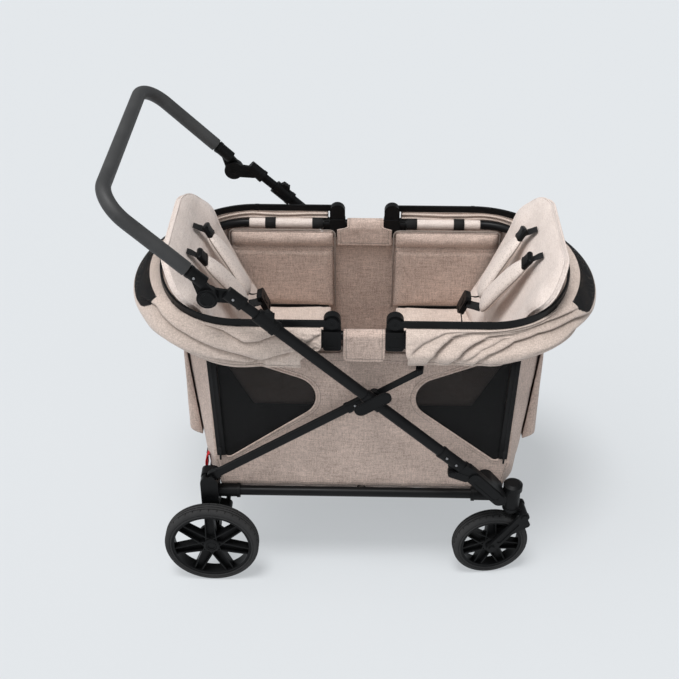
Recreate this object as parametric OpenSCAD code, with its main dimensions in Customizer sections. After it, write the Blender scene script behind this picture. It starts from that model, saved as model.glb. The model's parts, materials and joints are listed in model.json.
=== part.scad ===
// Two-seat folding stroller wagon with swivel front casters, a telescoping push handle and two canopies.
// Millimetres, +Z up, +X towards the casters, the push handle at -X, origin on the floor at the middle.

/* [Wheels] */
// Rear wheel diameter
rear_wheel_d = 240; // [200:5:260]
// Rear tyre width
rear_tyre_w = 38; // [30:1:46]
// Front wheel diameter
front_wheel_d = 195; // [160:5:200]
// Front tyre width
front_tyre_w = 36; // [28:1:40]
// Tyre height between tread and rim
tyre_h = 18; // [14:1:30]
// Spokes in each wheel
spoke_count = 7; // [5:1:9]
// Distance from the caster stem back to its axle
caster_trail = 47; // [30:1:55]
// Angle at which the casters are parked
caster_turn = 8; // [-20:1:20]

/* [Base frame] */
// Distance from the rear axle to the caster stems
base_len = 760; // [700:5:820]
// Height of the lower side tubes
base_z = 250; // [235:1:265]
// Half the spacing of the lower side tubes
base_y = 266; // [258:1:270]
// Diameter of the lower side tubes
base_d = 25; // [20:1:28]
// Wall of every round tube
tube_wall = 1.8; // [1.2:0.1:2.5]
// Half the spacing of the caster stems
stem_y = 270; // [264:1:274]

/* [Push frame] */
// Half the spacing of the push tubes
push_y = 306; // [304:1:309]
// Push tube depth in the side view
push_w = 28; // [24:1:31]
// Push tube thickness across
push_t = 20; // [17:1:21]
// Slope of the push tubes from the floor
push_slope = 42.3; // [38:0.1:46]
// Length of push tube from the fold pivot to the top of its collar
push_len = 648; // [600:1:680]
// Distance of the fold pivot under the push tube axis
fold_offset = 28; // [26:1:34]

/* [Handle] */
// Slope of the handle arms
handle_slope = 43.7; // [40:0.1:60]
// Length of the handle arms from the tilt pivot to the grip's middle
handle_len = 321; // [260:1:360]
// Handle tube diameter
handle_d = 25; // [20:1:28]
// Foam grip diameter
grip_d = 34; // [30:1:40]
// Radius of the grip's corners
grip_r = 75; // [50:1:110]

/* [Brace] */
// Brace tube depth in the side view
brace_w = 24; // [18:1:28]
// Brace tube thickness across
brace_t = 12; // [9:0.5:12]
// Slope of the braces
brace_slope = 33.2; // [30:0.1:36]

/* [Top frame and canopies] */
// Height of the top rail
rail_z = 728; // [700:1:740]
// Rail tube diameter
rail_d = 22; // [18:1:24]
// Half length of the top rail loop
rail_x = 432; // [425:1:445]
// Distance of the canopy pivots from the middle
hinge_x = 72; // [60:1:90]
// Height of the canopy pivots over the rail
hinge_rise = 40; // [36:1:48]
// Reach of each canopy bow
bow_reach = 498; // [480:1:510]
// Height of the canopy bow's flat bar
bow_h = 16; // [12:1:20]
// Thickness of the canopy bow's flat bar
bow_t = 6; // [4:0.5:7]
// Depth of the folded canopy past its bow
canopy_depth = 78; // [60:1:80]

/* [Tub and seats] */
// Half width of the cloth tub
tub_y = 256; // [250:1:257]
// Cloth thickness
cloth = 4; // [2:0.5:5]
// Height of the seat cushions' top
seat_z = 496; // [470:1:505]
// Thickness of the seat cushions
seat_t = 54; // [40:1:60]
// Half length of the foot well
well_x = 84; // [70:1:110]
// Slope of the seat backs from upright
back_lean = 22.7; // [15:0.1:25]
// Length of the seat backs
back_len = 423; // [330:1:430]

/* [Fits] */
// Gap between pieces that are fixed to each other
fixed_gap = 0.1; // [0.05:0.05:0.3]
// Gap round a turning pin
run_gap = 0.06; // [0.02:0.01:0.1]
// Gap between pieces that slide or turn past each other
move_gap = 0.4; // [0.3:0.05:0.8]

/* [Hidden] */
$fn = 48;

// Layers across the wagon, from the middle outwards
bracket_out = 275;
brace_in = bracket_out + 2.5;
brace_y = brace_in + brace_t / 2;
brace_out = brace_in + brace_t;
cover_in = brace_out + 1;
cover_out = cover_in + 6.5;
wheel_in = cover_out + 3;
push_in = push_y - push_t / 2;
push_out = push_y + push_t / 2;

// Rear axle, caster stem and wheels
rear_r = rear_wheel_d / 2;
front_r = front_wheel_d / 2;
rear_x = -base_len / 2;
stem_x = base_len / 2;
rear_y = wheel_in + rear_tyre_w / 2;
axle_r = 6;
drum_r = 38;
drum_in = wheel_in - 9;
pin_r = 5;
corner_half = 22;
corner_out = bracket_out + 1.5;
corner_in = 248;
socket_r = base_d / 2 + 4;

// Push tube line: u runs down the tube, n is its normal, both in the side view
u_push = [cos(push_slope), -sin(push_slope)];
n_push = [sin(push_slope), cos(push_slope)];
fold_p = [stem_x - 159, base_z + 106];
foot_p = fold_p + fold_offset * n_push;
function on_push(s, o = 0) = foot_p + s * u_push + o * n_push;
arm_w = push_w + 4;

// Brace line from its rear pivot, and the point where it crosses the push tube
u_brace = [cos(brace_slope), sin(brace_slope)];
brace_p = [rear_x + 7, base_z + 63];
function on_brace(s) = brace_p + s * u_brace;
function cross2(a, b) = a.x * b.y - a.y * b.x;
cross_s = cross2(foot_p - brace_p, u_push) / cross2(u_brace, u_push);
cross_p = on_brace(cross_s);
cross_push_s = (cross_p - foot_p) * u_push;
link_q = [hinge_x + 60.2, rail_z - 84.4];
link_seat = bracket_out + 1;

// Tilt pivot of the handle and the handle's own line
tilt_s = 111 + push_len;
tilt_p = on_push(-tilt_s, -36);
hub_r = 24;
u_handle = [-cos(handle_slope), sin(handle_slope)];
n_handle = [sin(handle_slope), cos(handle_slope)];
handle_p = tilt_p + 21 * n_handle;
function on_handle(s) = handle_p + s * u_handle;
hub_mid = push_y - 1.8;
button_r = 19;
button_travel = 2;

// Caster fork, in its own frame with the stem at the origin
susp_p = [30, front_r + 98.5];
stem_r = 8;
housing_r = 20;
housing_z = susp_p.y + 13;
fork_in = front_tyre_w / 2 + 3.5;
fork_t = 8;

// Brake bar
brake_p = [rear_x + 37, rear_r + 70];
brake_r = 6;
shoe_z = rear_r + drum_r + 6.6;

// Top frame and canopy
rail_y = 260;
rail_corner = 125;
rail_half = min(rail_x, bow_reach - 66);
hinge_z = rail_z + hinge_rise;
bow_y = bracket_out - bow_t / 2;
bow_r1 = 190;
bow_c1 = bow_reach - 213;
bow_k = bow_y - bow_r1;
bow_d = bow_reach - bow_c1;
bow_r2 = (bow_d * bow_d + bow_k * bow_k - bow_r1 * bow_r1) / (2 * (bow_d - bow_r1));
bow_turn = atan2(bow_k, bow_r2 - bow_d);

// Seats
floor_z = base_z + base_d / 2;
cross_d = 22;
rear_cross_z = base_z + 13;
floor_top = floor_z + 8.5;
board_top = floor_top - 1.5;
wall_top = rail_z - rail_d / 2 - 1;
corner_top = base_z + 72;
seam_x = min(base_len / 2 - 14, rail_half - 66);
end_y = 192;
end_low = base_len / 2 + 5;
end_high = rail_half - 7;
pocket_low = corner_top + 55;
pocket_high = wall_top - 64;
pocket_d = 33;
function end_x(z) = end_low + (end_high - end_low) * (z - floor_z) / (wall_top - floor_z);
back_p = [seam_x - 68, seat_z - 4.2];
function on_back(s, o = 0) = back_p + s * [sin(back_lean), cos(back_lean)] + o * [-cos(back_lean), sin(back_lean)];

// Turns children to the right-hand side of the wagon
module sided(s) {
    if (s > 0) children();
    else mirror([0, 1, 0]) children();
}

// Both sides of the wagon
module both() {
    children();
    mirror([0, 1, 0]) children();
}

// Both ends of the wagon
module ends() {
    children();
    mirror([1, 0, 0]) children();
}

// A side-view outline as a plate between two distances across
module plate(y0, y1) {
    translate([0, y1, 0]) rotate([90, 0, 0]) linear_extrude(y1 - y0) children();
}

// A round pin across the wagon at a side-view point
module pin(p, r, y0, y1) {
    translate([p.x, y0, p.y]) rotate([-90, 0, 0]) cylinder(r = r, h = y1 - y0);
}

// Rounded rectangle
module round_rect(w, h, r) {
    square([w - 2 * r, h], center = true);
    square([w, h - 2 * r], center = true);
    for (x = [-1, 1], y = [-1, 1]) translate([x * (w / 2 - r), y * (h / 2 - r)]) circle(r);
}

// Long round-ended outline between two points
module slot2d(p, q, w) {
    l = norm(q - p);
    translate(p) rotate(atan2(q.y - p.y, q.x - p.x)) {
        translate([0, -w / 2]) square([l, w]);
        circle(d = w);
        translate([l, 0]) circle(d = w);
    }
}

// Flat bar outline between two points
module bar2d(p, q, w) {
    a = atan2(q.y - p.y, q.x - p.x);
    translate(p) rotate(a) translate([0, -w / 2]) square([norm(q - p), w]);
}

// Oval section, its long side in the side view
module oval(w, t) {
    square([w - t, t], center = true);
    for (x = [-1, 1]) translate([x * (w - t) / 2, 0]) circle(d = t);
}

// Extrudes a section from one side-view point to another
module run(p, q, y) {
    d = q - p;
    translate([p.x, y, p.y]) rotate([0, atan2(d.x, d.y), 0]) linear_extrude(norm(d)) children();
}

// Hollow oval tube
module oval_tube(p, q, y, w, t) {
    run(p, q, y) difference() {
        oval(w, t);
        oval(w - 2 * tube_wall, t - 2 * tube_wall);
    }
}

// Hollow round tube along X
module pipe_x(x0, x1, y, z, d) {
    translate([x0, y, z]) rotate([0, 90, 0]) linear_extrude(x1 - x0) difference() {
        circle(d = d);
        circle(d = d - 2 * tube_wall);
    }
}

// Hollow round tube along Y
module pipe_y(x, z, y0, y1, d) {
    plate(y0, y1) translate([x, z]) difference() {
        circle(d = d);
        circle(d = d - 2 * tube_wall);
    }
}

// Sewn pad: crowned on top, sides drawn in between the corners, seams across its length
module pad(l, w0, w1, t, edge, crown, pull, seams = [], nu = 14, nv = 12) {
    function f(a) = pow(max(0, 1 - pow(abs(a), 4)), 0.6);
    function seam(a) = len(seams) == 0 ? 0 : max([for (s = seams) exp(-pow((a - s) * l / 22, 2))]);
    function h(a, b) = (edge + (t - edge) * f(a) * f(b) * (1 - 0.35 * seam(a))) / 2;
    function px(a, b) = l / 2 * a * (1 - pull * (1 - b * b));
    function py(a, b) = (w0 + (w1 - w0) * (a + 1) / 2) / 2 * b * (1 - pull * (1 - a * a));
    function spread(k) = sin(90 * k) * 0.35 + k * 0.65;
    m = nv + 1;
    n = (nu + 1) * m;
    up = [for (i = [0:nu], j = [0:nv]) let (a = spread(2 * i / nu - 1), b = spread(2 * j / nv - 1))
        [px(a, b), py(a, b), h(a, b) + crown * f(a) * f(b)]];
    down = [for (i = [0:nu], j = [0:nv]) let (a = spread(2 * i / nu - 1), b = spread(2 * j / nv - 1))
        [px(a, b), py(a, b), -h(a, b) + crown * f(a) * f(b) * 0.3]];
    tops = [for (i = [0:nu - 1], j = [0:nv - 1]) let (k = i * m + j)
        each [[k, k + 1, k + m + 1], [k, k + m + 1, k + m]]];
    bottoms = [for (i = [0:nu - 1], j = [0:nv - 1]) let (k = n + i * m + j)
        each [[k, k + m + 1, k + 1], [k, k + m, k + m + 1]]];
    rim_y = [for (i = [0:nu - 1]) let (a = i * m, b = a + m, c = a + nv, d = b + nv)
        each [[n + a, a, b], [n + a, b, n + b], [n + d, d, c], [n + d, c, n + c]]];
    rim_x = [for (j = [0:nv - 1]) let (a = j, b = j + 1, c = nu * m + j, d = c + 1)
        each [[n + b, b, a], [n + b, a, n + a], [n + c, c, d], [n + c, d, n + d]]];
    polyhedron(concat(up, down), concat(tops, bottoms, rim_y, rim_x));
}

// Lower side tubes
module base_tubes() {
    color("#26272a") both() pipe_x(rear_x + 26, stem_x - 78, base_y, base_z, base_d);
}

// Moulded rear corner: tube socket, brace lug, axle neck and brake bearing
module rear_corner(s) {
    color("#222326") sided(s) difference() {
        union() {
            plate(corner_in, corner_out) {
                translate([rear_x, base_z + 8]) round_rect(2 * corner_half, 116, 14);
                polygon([[rear_x - 19, base_z - 44], [rear_x + 19, base_z - 44],
                    [rear_x + 15, rear_r], [rear_x - 15, rear_r]]);
                translate([rear_x, rear_r]) circle(18);
                slot2d([rear_x + 8, brake_p.y + 8], brake_p, 26);
            }
            pin([rear_x, rear_r], 18, corner_in, drum_in - 1);
            translate([rear_x, base_y, base_z]) rotate([0, 90, 0]) cylinder(r = socket_r, h = 74);
            translate([rear_x + 66, base_y, base_z]) rotate([0, 90, 0]) cylinder(r = socket_r + 2, h = 8);
        }
        translate([rear_x + 26 - fixed_gap, base_y, base_z]) rotate([0, 90, 0])
            cylinder(d = base_d + 2 * fixed_gap, h = 60);
        pin([rear_x, rear_r], axle_r + fixed_gap, corner_in + 5, drum_in);
        pin(brake_p, brake_r + run_gap, corner_in - 1, corner_out + 1);
        pin(brace_p, pin_r + fixed_gap, corner_in + 12, corner_out + 1);
        plate(corner_in - 1, corner_in + 7) {
            translate([rear_x - 11, base_z + 44]) round_rect(12, 30, 4);
            translate([rear_x + 8, base_z + 44]) round_rect(14, 30, 4);
            translate([rear_x - 8, base_z - 20]) round_rect(14, 28, 4);
            polygon([[rear_x - 11, base_z - 52], [rear_x + 9, base_z - 52],
                [rear_x + 7, rear_r + 24], [rear_x - 8, rear_r + 24]]);
        }
        plate(corner_in - 1, corner_in + 19 + fixed_gap) translate([rear_x, base_z + 13]) circle(11 + fixed_gap);
    }
}
module rear_corner_right() { rear_corner(-1); }
module rear_corner_left() { rear_corner(1); }

// Moulded front corner: caster housing, tube socket and the arm that carries the push tube's pivot
module front_corner(s) {
    root_y = tub_y + 1;
    arm_in = push_in + 1;
    color("#222326") sided(s) difference() {
        union() {
            translate([stem_x, stem_y, housing_z]) cylinder(r = housing_r, h = 80);
            translate([stem_x, stem_y, housing_z]) cylinder(r = housing_r + 2, h = 7);
            translate([stem_x, stem_y, housing_z + 62]) cylinder(r = housing_r + 4, h = 16);
            translate([stem_x, stem_y, housing_z + 78]) cylinder(r1 = housing_r + 4, r2 = housing_r - 4, h = 6);
            translate([stem_x - 104, base_y, base_z]) rotate([0, 90, 0]) cylinder(r = socket_r, h = 100);
            translate([stem_x - 104, base_y, base_z]) rotate([0, 90, 0]) cylinder(r = socket_r + 2, h = 8);
            plate(root_y, arm_in + 1) slot2d(on_push(100, -8), on_push(140, -14), 40);
            plate(arm_in, push_out - 1) {
                slot2d(on_push(24), on_push(146, -8), arm_w + 4);
                bar2d(on_push(6), on_push(40), arm_w);
            }
            plate(arm_in - 1, push_out) {
                slot2d(fold_p, on_push(34, -fold_offset + 13), 21);
            }
        }
        translate([stem_x, stem_y, housing_z - 1]) cylinder(r = stem_r + run_gap, h = 64);
        translate([stem_x - 78 - 60, base_y, base_z]) rotate([0, 90, 0])
            cylinder(d = base_d + 2 * fixed_gap, h = 60 + fixed_gap);
        pin(fold_p, pin_r + fixed_gap, push_in - 2, push_out + 2);
        plate(push_y - 4 - move_gap, push_y + 4 + move_gap) {
            translate(fold_p) circle(13);
            bar2d(fold_p - 30 * u_push, fold_p + 12 * u_push, 26);
        }
        plate(root_y - 1, root_y + 26) {
            translate(on_push(104, -8)) rotate(-push_slope) round_rect(24, 26, 6);
            translate(on_push(138, -12)) rotate(-push_slope) round_rect(24, 24, 6);
        }
        for (k = [52, 74]) pin(on_push(k), 4.2, push_out - 4, push_out + 1);
    }
}
module front_corner_right() { front_corner(-1); }
module front_corner_left() { front_corner(1); }

// Covers on the outside of the four corners
module corner_covers() {
    color("#2b2c2f") both() {
        difference() {
            plate(corner_out + fixed_gap, cover_out) {
                translate([rear_x, base_z + 9]) round_rect(2 * corner_half, 112, 18);
            }
            plate(corner_out, cover_in) {
                translate(brace_p) circle(brace_w / 2 + 3);
                polygon([brace_p - [0, brace_w / 2 + 3], brace_p + [60, -24], brace_p + [60, 80],
                    brace_p + [0, brace_w / 2 + 3]]);
                translate([rear_x - 3, base_z - 10]) round_rect(24, 54, 6);
            }
            pin(brace_p, pin_r + fixed_gap, corner_out, cover_out + 1);
            translate([rear_x - 30, base_y, base_z]) rotate([0, 90, 0]) cylinder(r = socket_r + move_gap, h = 80);
            plate(cover_out - 1.2, cover_out + 1) translate([rear_x, base_z - 12]) round_rect(26, 42, 9);
        }
        difference() {
            plate(push_out - 1 + fixed_gap, push_out + 3) slot2d(on_push(52), on_push(140, -7), arm_w - 2);
            plate(push_out + 1.8, push_out + 4) slot2d(on_push(62, -1), on_push(130, -6), arm_w - 14);
            plate(push_out - 2, push_out + 2 * fixed_gap) {
                slot2d(fold_p, on_push(34, -fold_offset + 13), 21 + 4 * fixed_gap);
            }
        }
    }
}

// Cross tubes under the floor
module cross_tubes() {
    side_in = base_y - base_d / 2 - fixed_gap;
    collar_in = base_y - socket_r - 2 - 2 * fixed_gap;
    color("#26272a") {
        pipe_y(rear_x, rear_cross_z, -corner_in - 19, corner_in + 19, cross_d);
        pipe_y(0, floor_z - cross_d / 2, -side_in, side_in, cross_d);
        pipe_y(stem_x - 88, floor_z - cross_d / 2, -collar_in, collar_in, cross_d);
    }
}

// Floor board: a flat raised panel in the foot well, ribbed recesses under the seats and drain holes
module floor_board() {
    half_x = seam_x - 16;
    half_y = tub_y - 12;
    pan = half_x - well_x - 42;
    color("#3a3836") difference() {
        union() {
            translate([0, 0, floor_z + fixed_gap]) linear_extrude(board_top - floor_z - fixed_gap)
                round_rect(2 * half_x, 2 * half_y, 20);
            translate([0, 0, board_top - 2]) linear_extrude(floor_top - board_top + 2)
                round_rect(2 * well_x - 4, 2 * half_y - 8, 10);
        }
        for (x = [-1, 1], y = [-1, 1]) translate([x * (half_x - 24 - pan / 2), y * half_y / 2, floor_z + 4])
            linear_extrude(20) round_rect(pan, half_y - 48, 14);
        for (x = [-30:20:30], y = [-120, 120]) translate([x, y, floor_z - 1]) cylinder(r = 3, h = 20);
    }
}

// Pivot pins of the push tubes and of the braces, and the rear stub axles
module frame_pins() {
    tip = rear_y + rear_tyre_w / 2;
    color("#b9babc") both() {
        pin(fold_p, pin_r, push_in, push_out + 1.5);
        pin(fold_p, 8, push_out + 0.2, push_out + 2.6);
        pin(brace_p, pin_r, corner_in + 14, cover_out + 0.5);
        pin(brace_p, 8, cover_out + 0.2, cover_out + 2.2);
        pin([rear_x, rear_r], axle_r, corner_in + 6, tip - 5);
        pin([rear_x, rear_r], axle_r + 3, tip - 6, tip - 3);
    }
}

// One side window: a rounded triangle under the canopy with its tip at the frame's crossing
module window2d(grow) {
    hull() {
        translate([-seam_x + 32, rail_z - 76]) circle(18 + grow);
        translate([-seam_x + 25, base_z + 117]) circle(13 + grow);
        translate([-178, rail_z - 182]) circle(60 + grow);
    }
}

// Cloth side wall with two window openings
module tub_side(s) {
    low_x = seam_x - 18;
    color("#b7a79b") sided(s) difference() {
        plate(tub_y - cloth, tub_y) {
            polygon([[-low_x, floor_z + 3.6], [low_x, floor_z + 3.6], [low_x, corner_top], [seam_x, corner_top],
                [seam_x, wall_top], [-seam_x, wall_top], [-seam_x, corner_top], [-low_x, corner_top]]);
        }
        plate(tub_y - cloth - 1, tub_y + 1) for (k = [-1, 1])
            translate([k * (hinge_x + 9), rail_z]) square([66, 72], center = true);
        plate(tub_y - cloth - 1, tub_y + 1) {
            window2d(0);
            mirror([1, 0]) window2d(0);
        }
    }
}
module tub_side_right() { tub_side(-1); }
module tub_side_left() { tub_side(1); }

// Mesh panels in the side windows
module mesh_windows() {
    color("#1c1c1e") both() ends() plate(tub_y - cloth + 1, tub_y - cloth + 2.4) window2d(-move_gap);
}

// Cloth end walls, leaning out towards the rail
module tub_ends() {
    edge = seam_x + 3 * fixed_gap;
    function corner(z, o) = [[edge, tub_y - o], [end_x(z) - o, end_y], [end_x(z) + cloth - o, end_y + 0.3],
        [edge + 0.8 * cloth, tub_y - o]];
    color("#b0a094") ends() {
        plate(-end_y, end_y) polygon([[end_x(floor_z + 20), floor_z + 20],
            [end_x(floor_z + 20) + cloth, floor_z + 20], [end_x(wall_top) + cloth, wall_top],
            [end_x(wall_top), wall_top]]);
        both() polyhedron(concat([for (q = corner(corner_top, 1)) [q.x, q.y + 0.3, corner_top]],
            [for (q = corner(wall_top, 1)) [q.x, q.y + 0.3, wall_top]]),
            [[0, 1, 2], [0, 2, 3], [4, 6, 5], [4, 7, 6], [0, 5, 1], [0, 4, 5], [1, 6, 2], [1, 5, 6],
            [2, 6, 3], [3, 6, 7], [3, 4, 0], [3, 7, 4]]);
    }
}

// Padded panels inside the side walls
module side_pads() {
    l = wall_top - seat_z - 6;
    x0 = max(well_x - 6, hinge_x + 28);
    x1 = seam_x - 7;
    color("#c4b5a9") both() ends() translate([(x0 + x1) / 2, tub_y - cloth - 8.7, seat_z + 6 + l / 2])
        rotate([90, -90, 0]) pad(l, x1 - x0, x1 - x0, 18, 5, 2, 0.012, [0.45], 10, 10);
}

// Seat block and its cushion
module seat(end) {
    l = seam_x - 4 - well_x;
    w = 2 * (tub_y - cloth - 15);
    color("#c4b5a9") scale([end, 1, 1]) {
        translate([well_x + 8 + (l - 8) / 2, 0, board_top + 0.3])
            linear_extrude(seat_z - seat_t - board_top + 1.8) round_rect(l - 8, w - 22, 22);
        translate([well_x + l / 2, 0, seat_z - seat_t / 2 - 5])
            pad(l, w, w, seat_t - 10, 20, 8, 0.018, [], 14, 14);
    }
}
module seat_rear() { mirror([1, 0, 0]) seat(1); }
module seat_front() { seat(1); }

// Seat back, narrower at the top, leaning outwards
module seat_back(front) {
    p = on_back(back_len / 2);
    color("#c8baaf") translate([p.x, 0, p.y]) rotate([0, back_lean, 0]) rotate([0, -90, 0])
        pad(back_len, 448, 320, 26, 9, 5, 0.02, [-0.62], 16, 14);
}
module seat_back_rear() { mirror([1, 0, 0]) seat_back(true); }
module seat_back_front() { seat_back(true); }

// Buckle's place and its two directions: up its length and out of its face
buckle_p = [back_p.x - 46, seat_z + 156];
u_buckle = [sin(back_lean), cos(back_lean)];
n_buckle = [-cos(back_lean), sin(back_lean)];

// Shoulder pads and webbing of one harness
module harness() {
    top_p = on_back(342, 22);
    low_p = on_back(194, 40);
    lean = atan2(top_p.x - low_p.x, top_p.y - low_p.y);
    l = norm(top_p - low_p);
    u = (top_p - low_p) / l;
    mid = (top_p + low_p) / 2;
    color("#bdaea2") for (y = [-62, 62]) translate([mid.x, y, mid.y]) rotate([0, lean, 0])
        rotate([0, -90, 0]) pad(l, 46, 52, 12, 5, 0, 0.03, [], 10, 6);
    color("#1f1f21") for (y = [-62, 62]) plate(y - 12, y + 12) bar2d(top_p - 1.4 * u, on_back(back_len - 12, 12.2), 3);
    color("#1f1f21") plate(-14, 14) bar2d(buckle_p - 27.2 * u_buckle, [buckle_p.x - 2, seat_z - 1.4], 3);
    color("#1f1f21") for (k = [-1, 1]) {
        tongue = buckle_p + 12 * u_buckle;
        a = [low_p.x + 1.4 * u.x, k * 62, low_p.y + 1.4 * u.y];
        b = [tongue.x, k * 34, tongue.y];
        d = b - a;
        translate([tongue.x, k * 27, tongue.y]) rotate([0, back_lean - 90, 0])
            cube([14, 16.8, 3], center = true);
        translate(a) rotate([0, acos(d.z / norm(d)), atan2(d.y, d.x)])
            translate([-1.5, -10, 0]) cube([3, 20, norm(d)]);
    }
}
module harness_rear() { mirror([1, 0, 0]) harness(); }
module harness_front() { harness(); }

// Harness buckle: a rounded body with two side slots and a button well in its face
module buckle_body() {
    color("#1b1b1d") translate([buckle_p.x, 0, buckle_p.y]) rotate([0, back_lean - 90, 0]) difference() {
        translate([0, 0, -7]) linear_extrude(14) round_rect(52, 44, 9);
        translate([0, 0, 7 - 3.6]) cylinder(r = 12, h = 10);
        for (y = [-1, 1]) translate([12, y * 22, 0]) cube([16, 8, 4], center = true);
        translate([-20, 0, 0]) cube([4, 28, 30], center = true);
    }
}
module buckle_rear() { mirror([1, 0, 0]) buckle_body(); }
module buckle_front() { buckle_body(); }

// Buckle's release button
module buckle_key() {
    color("#343438") translate([buckle_p.x, 0, buckle_p.y]) rotate([0, back_lean - 90, 0])
        translate([0, 0, 7 - 1.4]) cylinder(r = 12 - move_gap, h = 2.4);
}
module buckle_button_rear() { mirror([1, 0, 0]) buckle_key(); }
module buckle_button_front() { buckle_key(); }

// Storage bags on the end walls
module end_pockets() {
    function face(z, d) = [end_x(z) + cloth + d, z];
    color("#b3a397") ends() plate(-end_y - 4, end_y + 4) polygon([
        face(pocket_low, 1), face(pocket_low, pocket_d - 11), face(pocket_low + 23, pocket_d),
        face(pocket_high - 52, pocket_d - 3), face(pocket_high, pocket_d - 13), face(pocket_high, 1)]);
}

// Pull strap that starts the fold, at the rear of the tub
module pull_strap() {
    thick = 2;
    low = floor_z - 4;
    high = low + 46;
    wall = end_x(floor_z + 20) + cloth + thick + 0.6;
    tube = -rear_x + cross_d / 2 + 2 * fixed_gap + thick;
    out = max(wall, tube);
    bend = rear_cross_z + cross_d / 2;
    color("#b3262a") translate([0, -232, 0]) plate(0, 22) {
        polygon([[-out, low], [thick - out, low], [thick - out, bend], [thick - wall, high], [-wall, high], [-out, bend]]);
        translate([-out - 3, low]) square([5, 3]);
    }
}

// Brake bar: cross rod, a pedal at its middle and a shoe at each wheel drum
module brake_bar() {
    color("#202124") {
        pin(brake_p, brake_r, -cover_out + 1, cover_out - 1);
        both() difference() {
            plate(drum_in + 1, cover_out - 1) {
                slot2d([rear_x - 6, shoe_z + 5], [brake_p.x, brake_p.y], 14);
                translate([rear_x - 14, shoe_z]) square([28, 9]);
            }
            pin([rear_x, rear_r], drum_r + 6.6, drum_in, cover_out);
        }
        both() pin(brake_p, 11, corner_out + move_gap, drum_in + 2);
        plate(-38, 38) {
            slot2d(brake_p, [rear_x - 34, brake_p.y - 14], 2 * brake_r + 2);
            translate([rear_x - 34, brake_p.y - 14]) circle(9);
        }
    }
}

// Oval push tubes
module push_tubes() {
    color("#26272a") both() oval_tube(on_push(-8), on_push(-push_len + 6), push_y, push_w, push_t);
}

// Knuckles at the push tubes' lower ends, each with a lobe on the fold pivot
module lower_knuckles() {
    color("#222326") both() difference() {
        union() {
            run(on_push(-62), on_push(4), push_y) oval(push_w + 4, push_t + 3.4);
            run(on_push(-66), on_push(-58), push_y) oval(push_w + 6, push_t + 4);
            plate(push_y - 4, push_y + 4) {
                translate(fold_p) circle(11);
                polygon([fold_p - 11 * u_push, on_push(-30, -push_w / 2), on_push(2, -push_w / 2),
                    fold_p + 11 * u_push]);
            }
        }
        run(on_push(-70), on_push(-8 + fixed_gap), push_y) oval(push_w + 2 * fixed_gap, push_t + 2 * fixed_gap);
        pin(fold_p, pin_r + run_gap, push_y - 10, push_y + 10);
        pin(on_push(-46), 4.2, push_out + 0.6, push_out + 4);
        pin(on_push(-14), 4.2, push_out + 0.6, push_out + 4);
    }
}

// Height collars with their thumb tabs
module height_collars() {
    top = -push_len;
    color("#1f2023") both() difference() {
        union() {
            run(on_push(top), on_push(top + 56), push_y) oval(push_w + 8, push_t + 4);
            run(on_push(top + 48), on_push(top + 58), push_y) oval(push_w + 10, push_t + 5);
            plate(push_y - 8, push_y + 8) {
                polygon([on_push(top + 8, push_w / 2), on_push(top + 12, push_w / 2 + 11),
                    on_push(top + 30, push_w / 2 + 13), on_push(top + 40, push_w / 2)]);
            }
        }
        run(on_push(top + 6 - fixed_gap), on_push(top + 70), push_y)
            oval(push_w + 2 * fixed_gap, push_t + 2 * fixed_gap);
        run(on_push(top - 1), on_push(top + 10), push_y)
            oval(push_w - 2 * tube_wall, push_t - 2 * tube_wall);
        for (k = [14, 20, 26]) plate(push_y - 9, push_y + 9)
            translate(on_push(top + k, push_w / 2 + 13)) circle(2);
    }
}

// Telescoping upper tubes inside the push tubes
slide_w = push_w - 2 * tube_wall - 2 * move_gap;
slide_t = push_t - 2 * tube_wall - 2 * move_gap;
module slider_tubes() {
    color("#2a2b2e") both() oval_tube(on_push(-push_len + 150), on_push(-tilt_s + 26), push_y, slide_w, slide_t);
}

// Lower halves of the handle's tilt hubs
module hubs_lower() {
    end = -tilt_s + 24;
    color("#1f2023") both() difference() {
        union() {
            run(on_push(end), on_push(end + 46), push_y) oval(push_w + 5, push_t + 3);
            run(on_push(end + 40), on_push(end + 48), push_y) oval(push_w + 7, push_t + 4);
            plate(push_in, hub_mid - move_gap / 2) {
                translate(tilt_p) circle(hub_r);
                polygon([tilt_p - hub_r * n_push * 0.9, on_push(end + 30, -push_w / 2), on_push(end + 2, 4),
                    tilt_p + hub_r * n_push * 0.95]);
            }
        }
        run(on_push(end + 2 - fixed_gap), on_push(end + 60), push_y)
            oval(slide_w + 2 * fixed_gap, slide_t + 2 * fixed_gap);
        pin(on_push(end + 20), 4.2, push_out + 0.4, push_out + 4);
        pin(tilt_p, 7 + run_gap, push_in - 1, push_out);
    }
}

// Handle bow as a round bar of a given diameter, starting at a distance up its arms
module bow_bar(d, start) {
    straight = handle_len - grip_r;
    translate([handle_p.x, 0, handle_p.y]) rotate([0, atan2(u_handle.x, u_handle.y), 0]) {
        both() translate([0, push_y, start]) cylinder(d = d, h = straight - start);
        both() translate([0, push_y - grip_r, straight]) rotate([90, 0, 90])
            rotate_extrude(angle = 90) translate([grip_r, 0]) circle(d = d);
        translate([0, push_y - grip_r, handle_len]) rotate([90, 0, 0]) cylinder(d = d, h = 2 * (push_y - grip_r));
    }
}

// Handle tube
module handle_bar() {
    color("#2a2b2e") difference() {
        bow_bar(handle_d, 34);
        bow_bar(handle_d - 2 * tube_wall, 33);
    }
}

// Foam grip over the handle tube
module handle_grip() {
    color("#242425") difference() {
        bow_bar(grip_d, 79);
        bow_bar(handle_d + 2 * fixed_gap, 70);
    }
}

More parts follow.
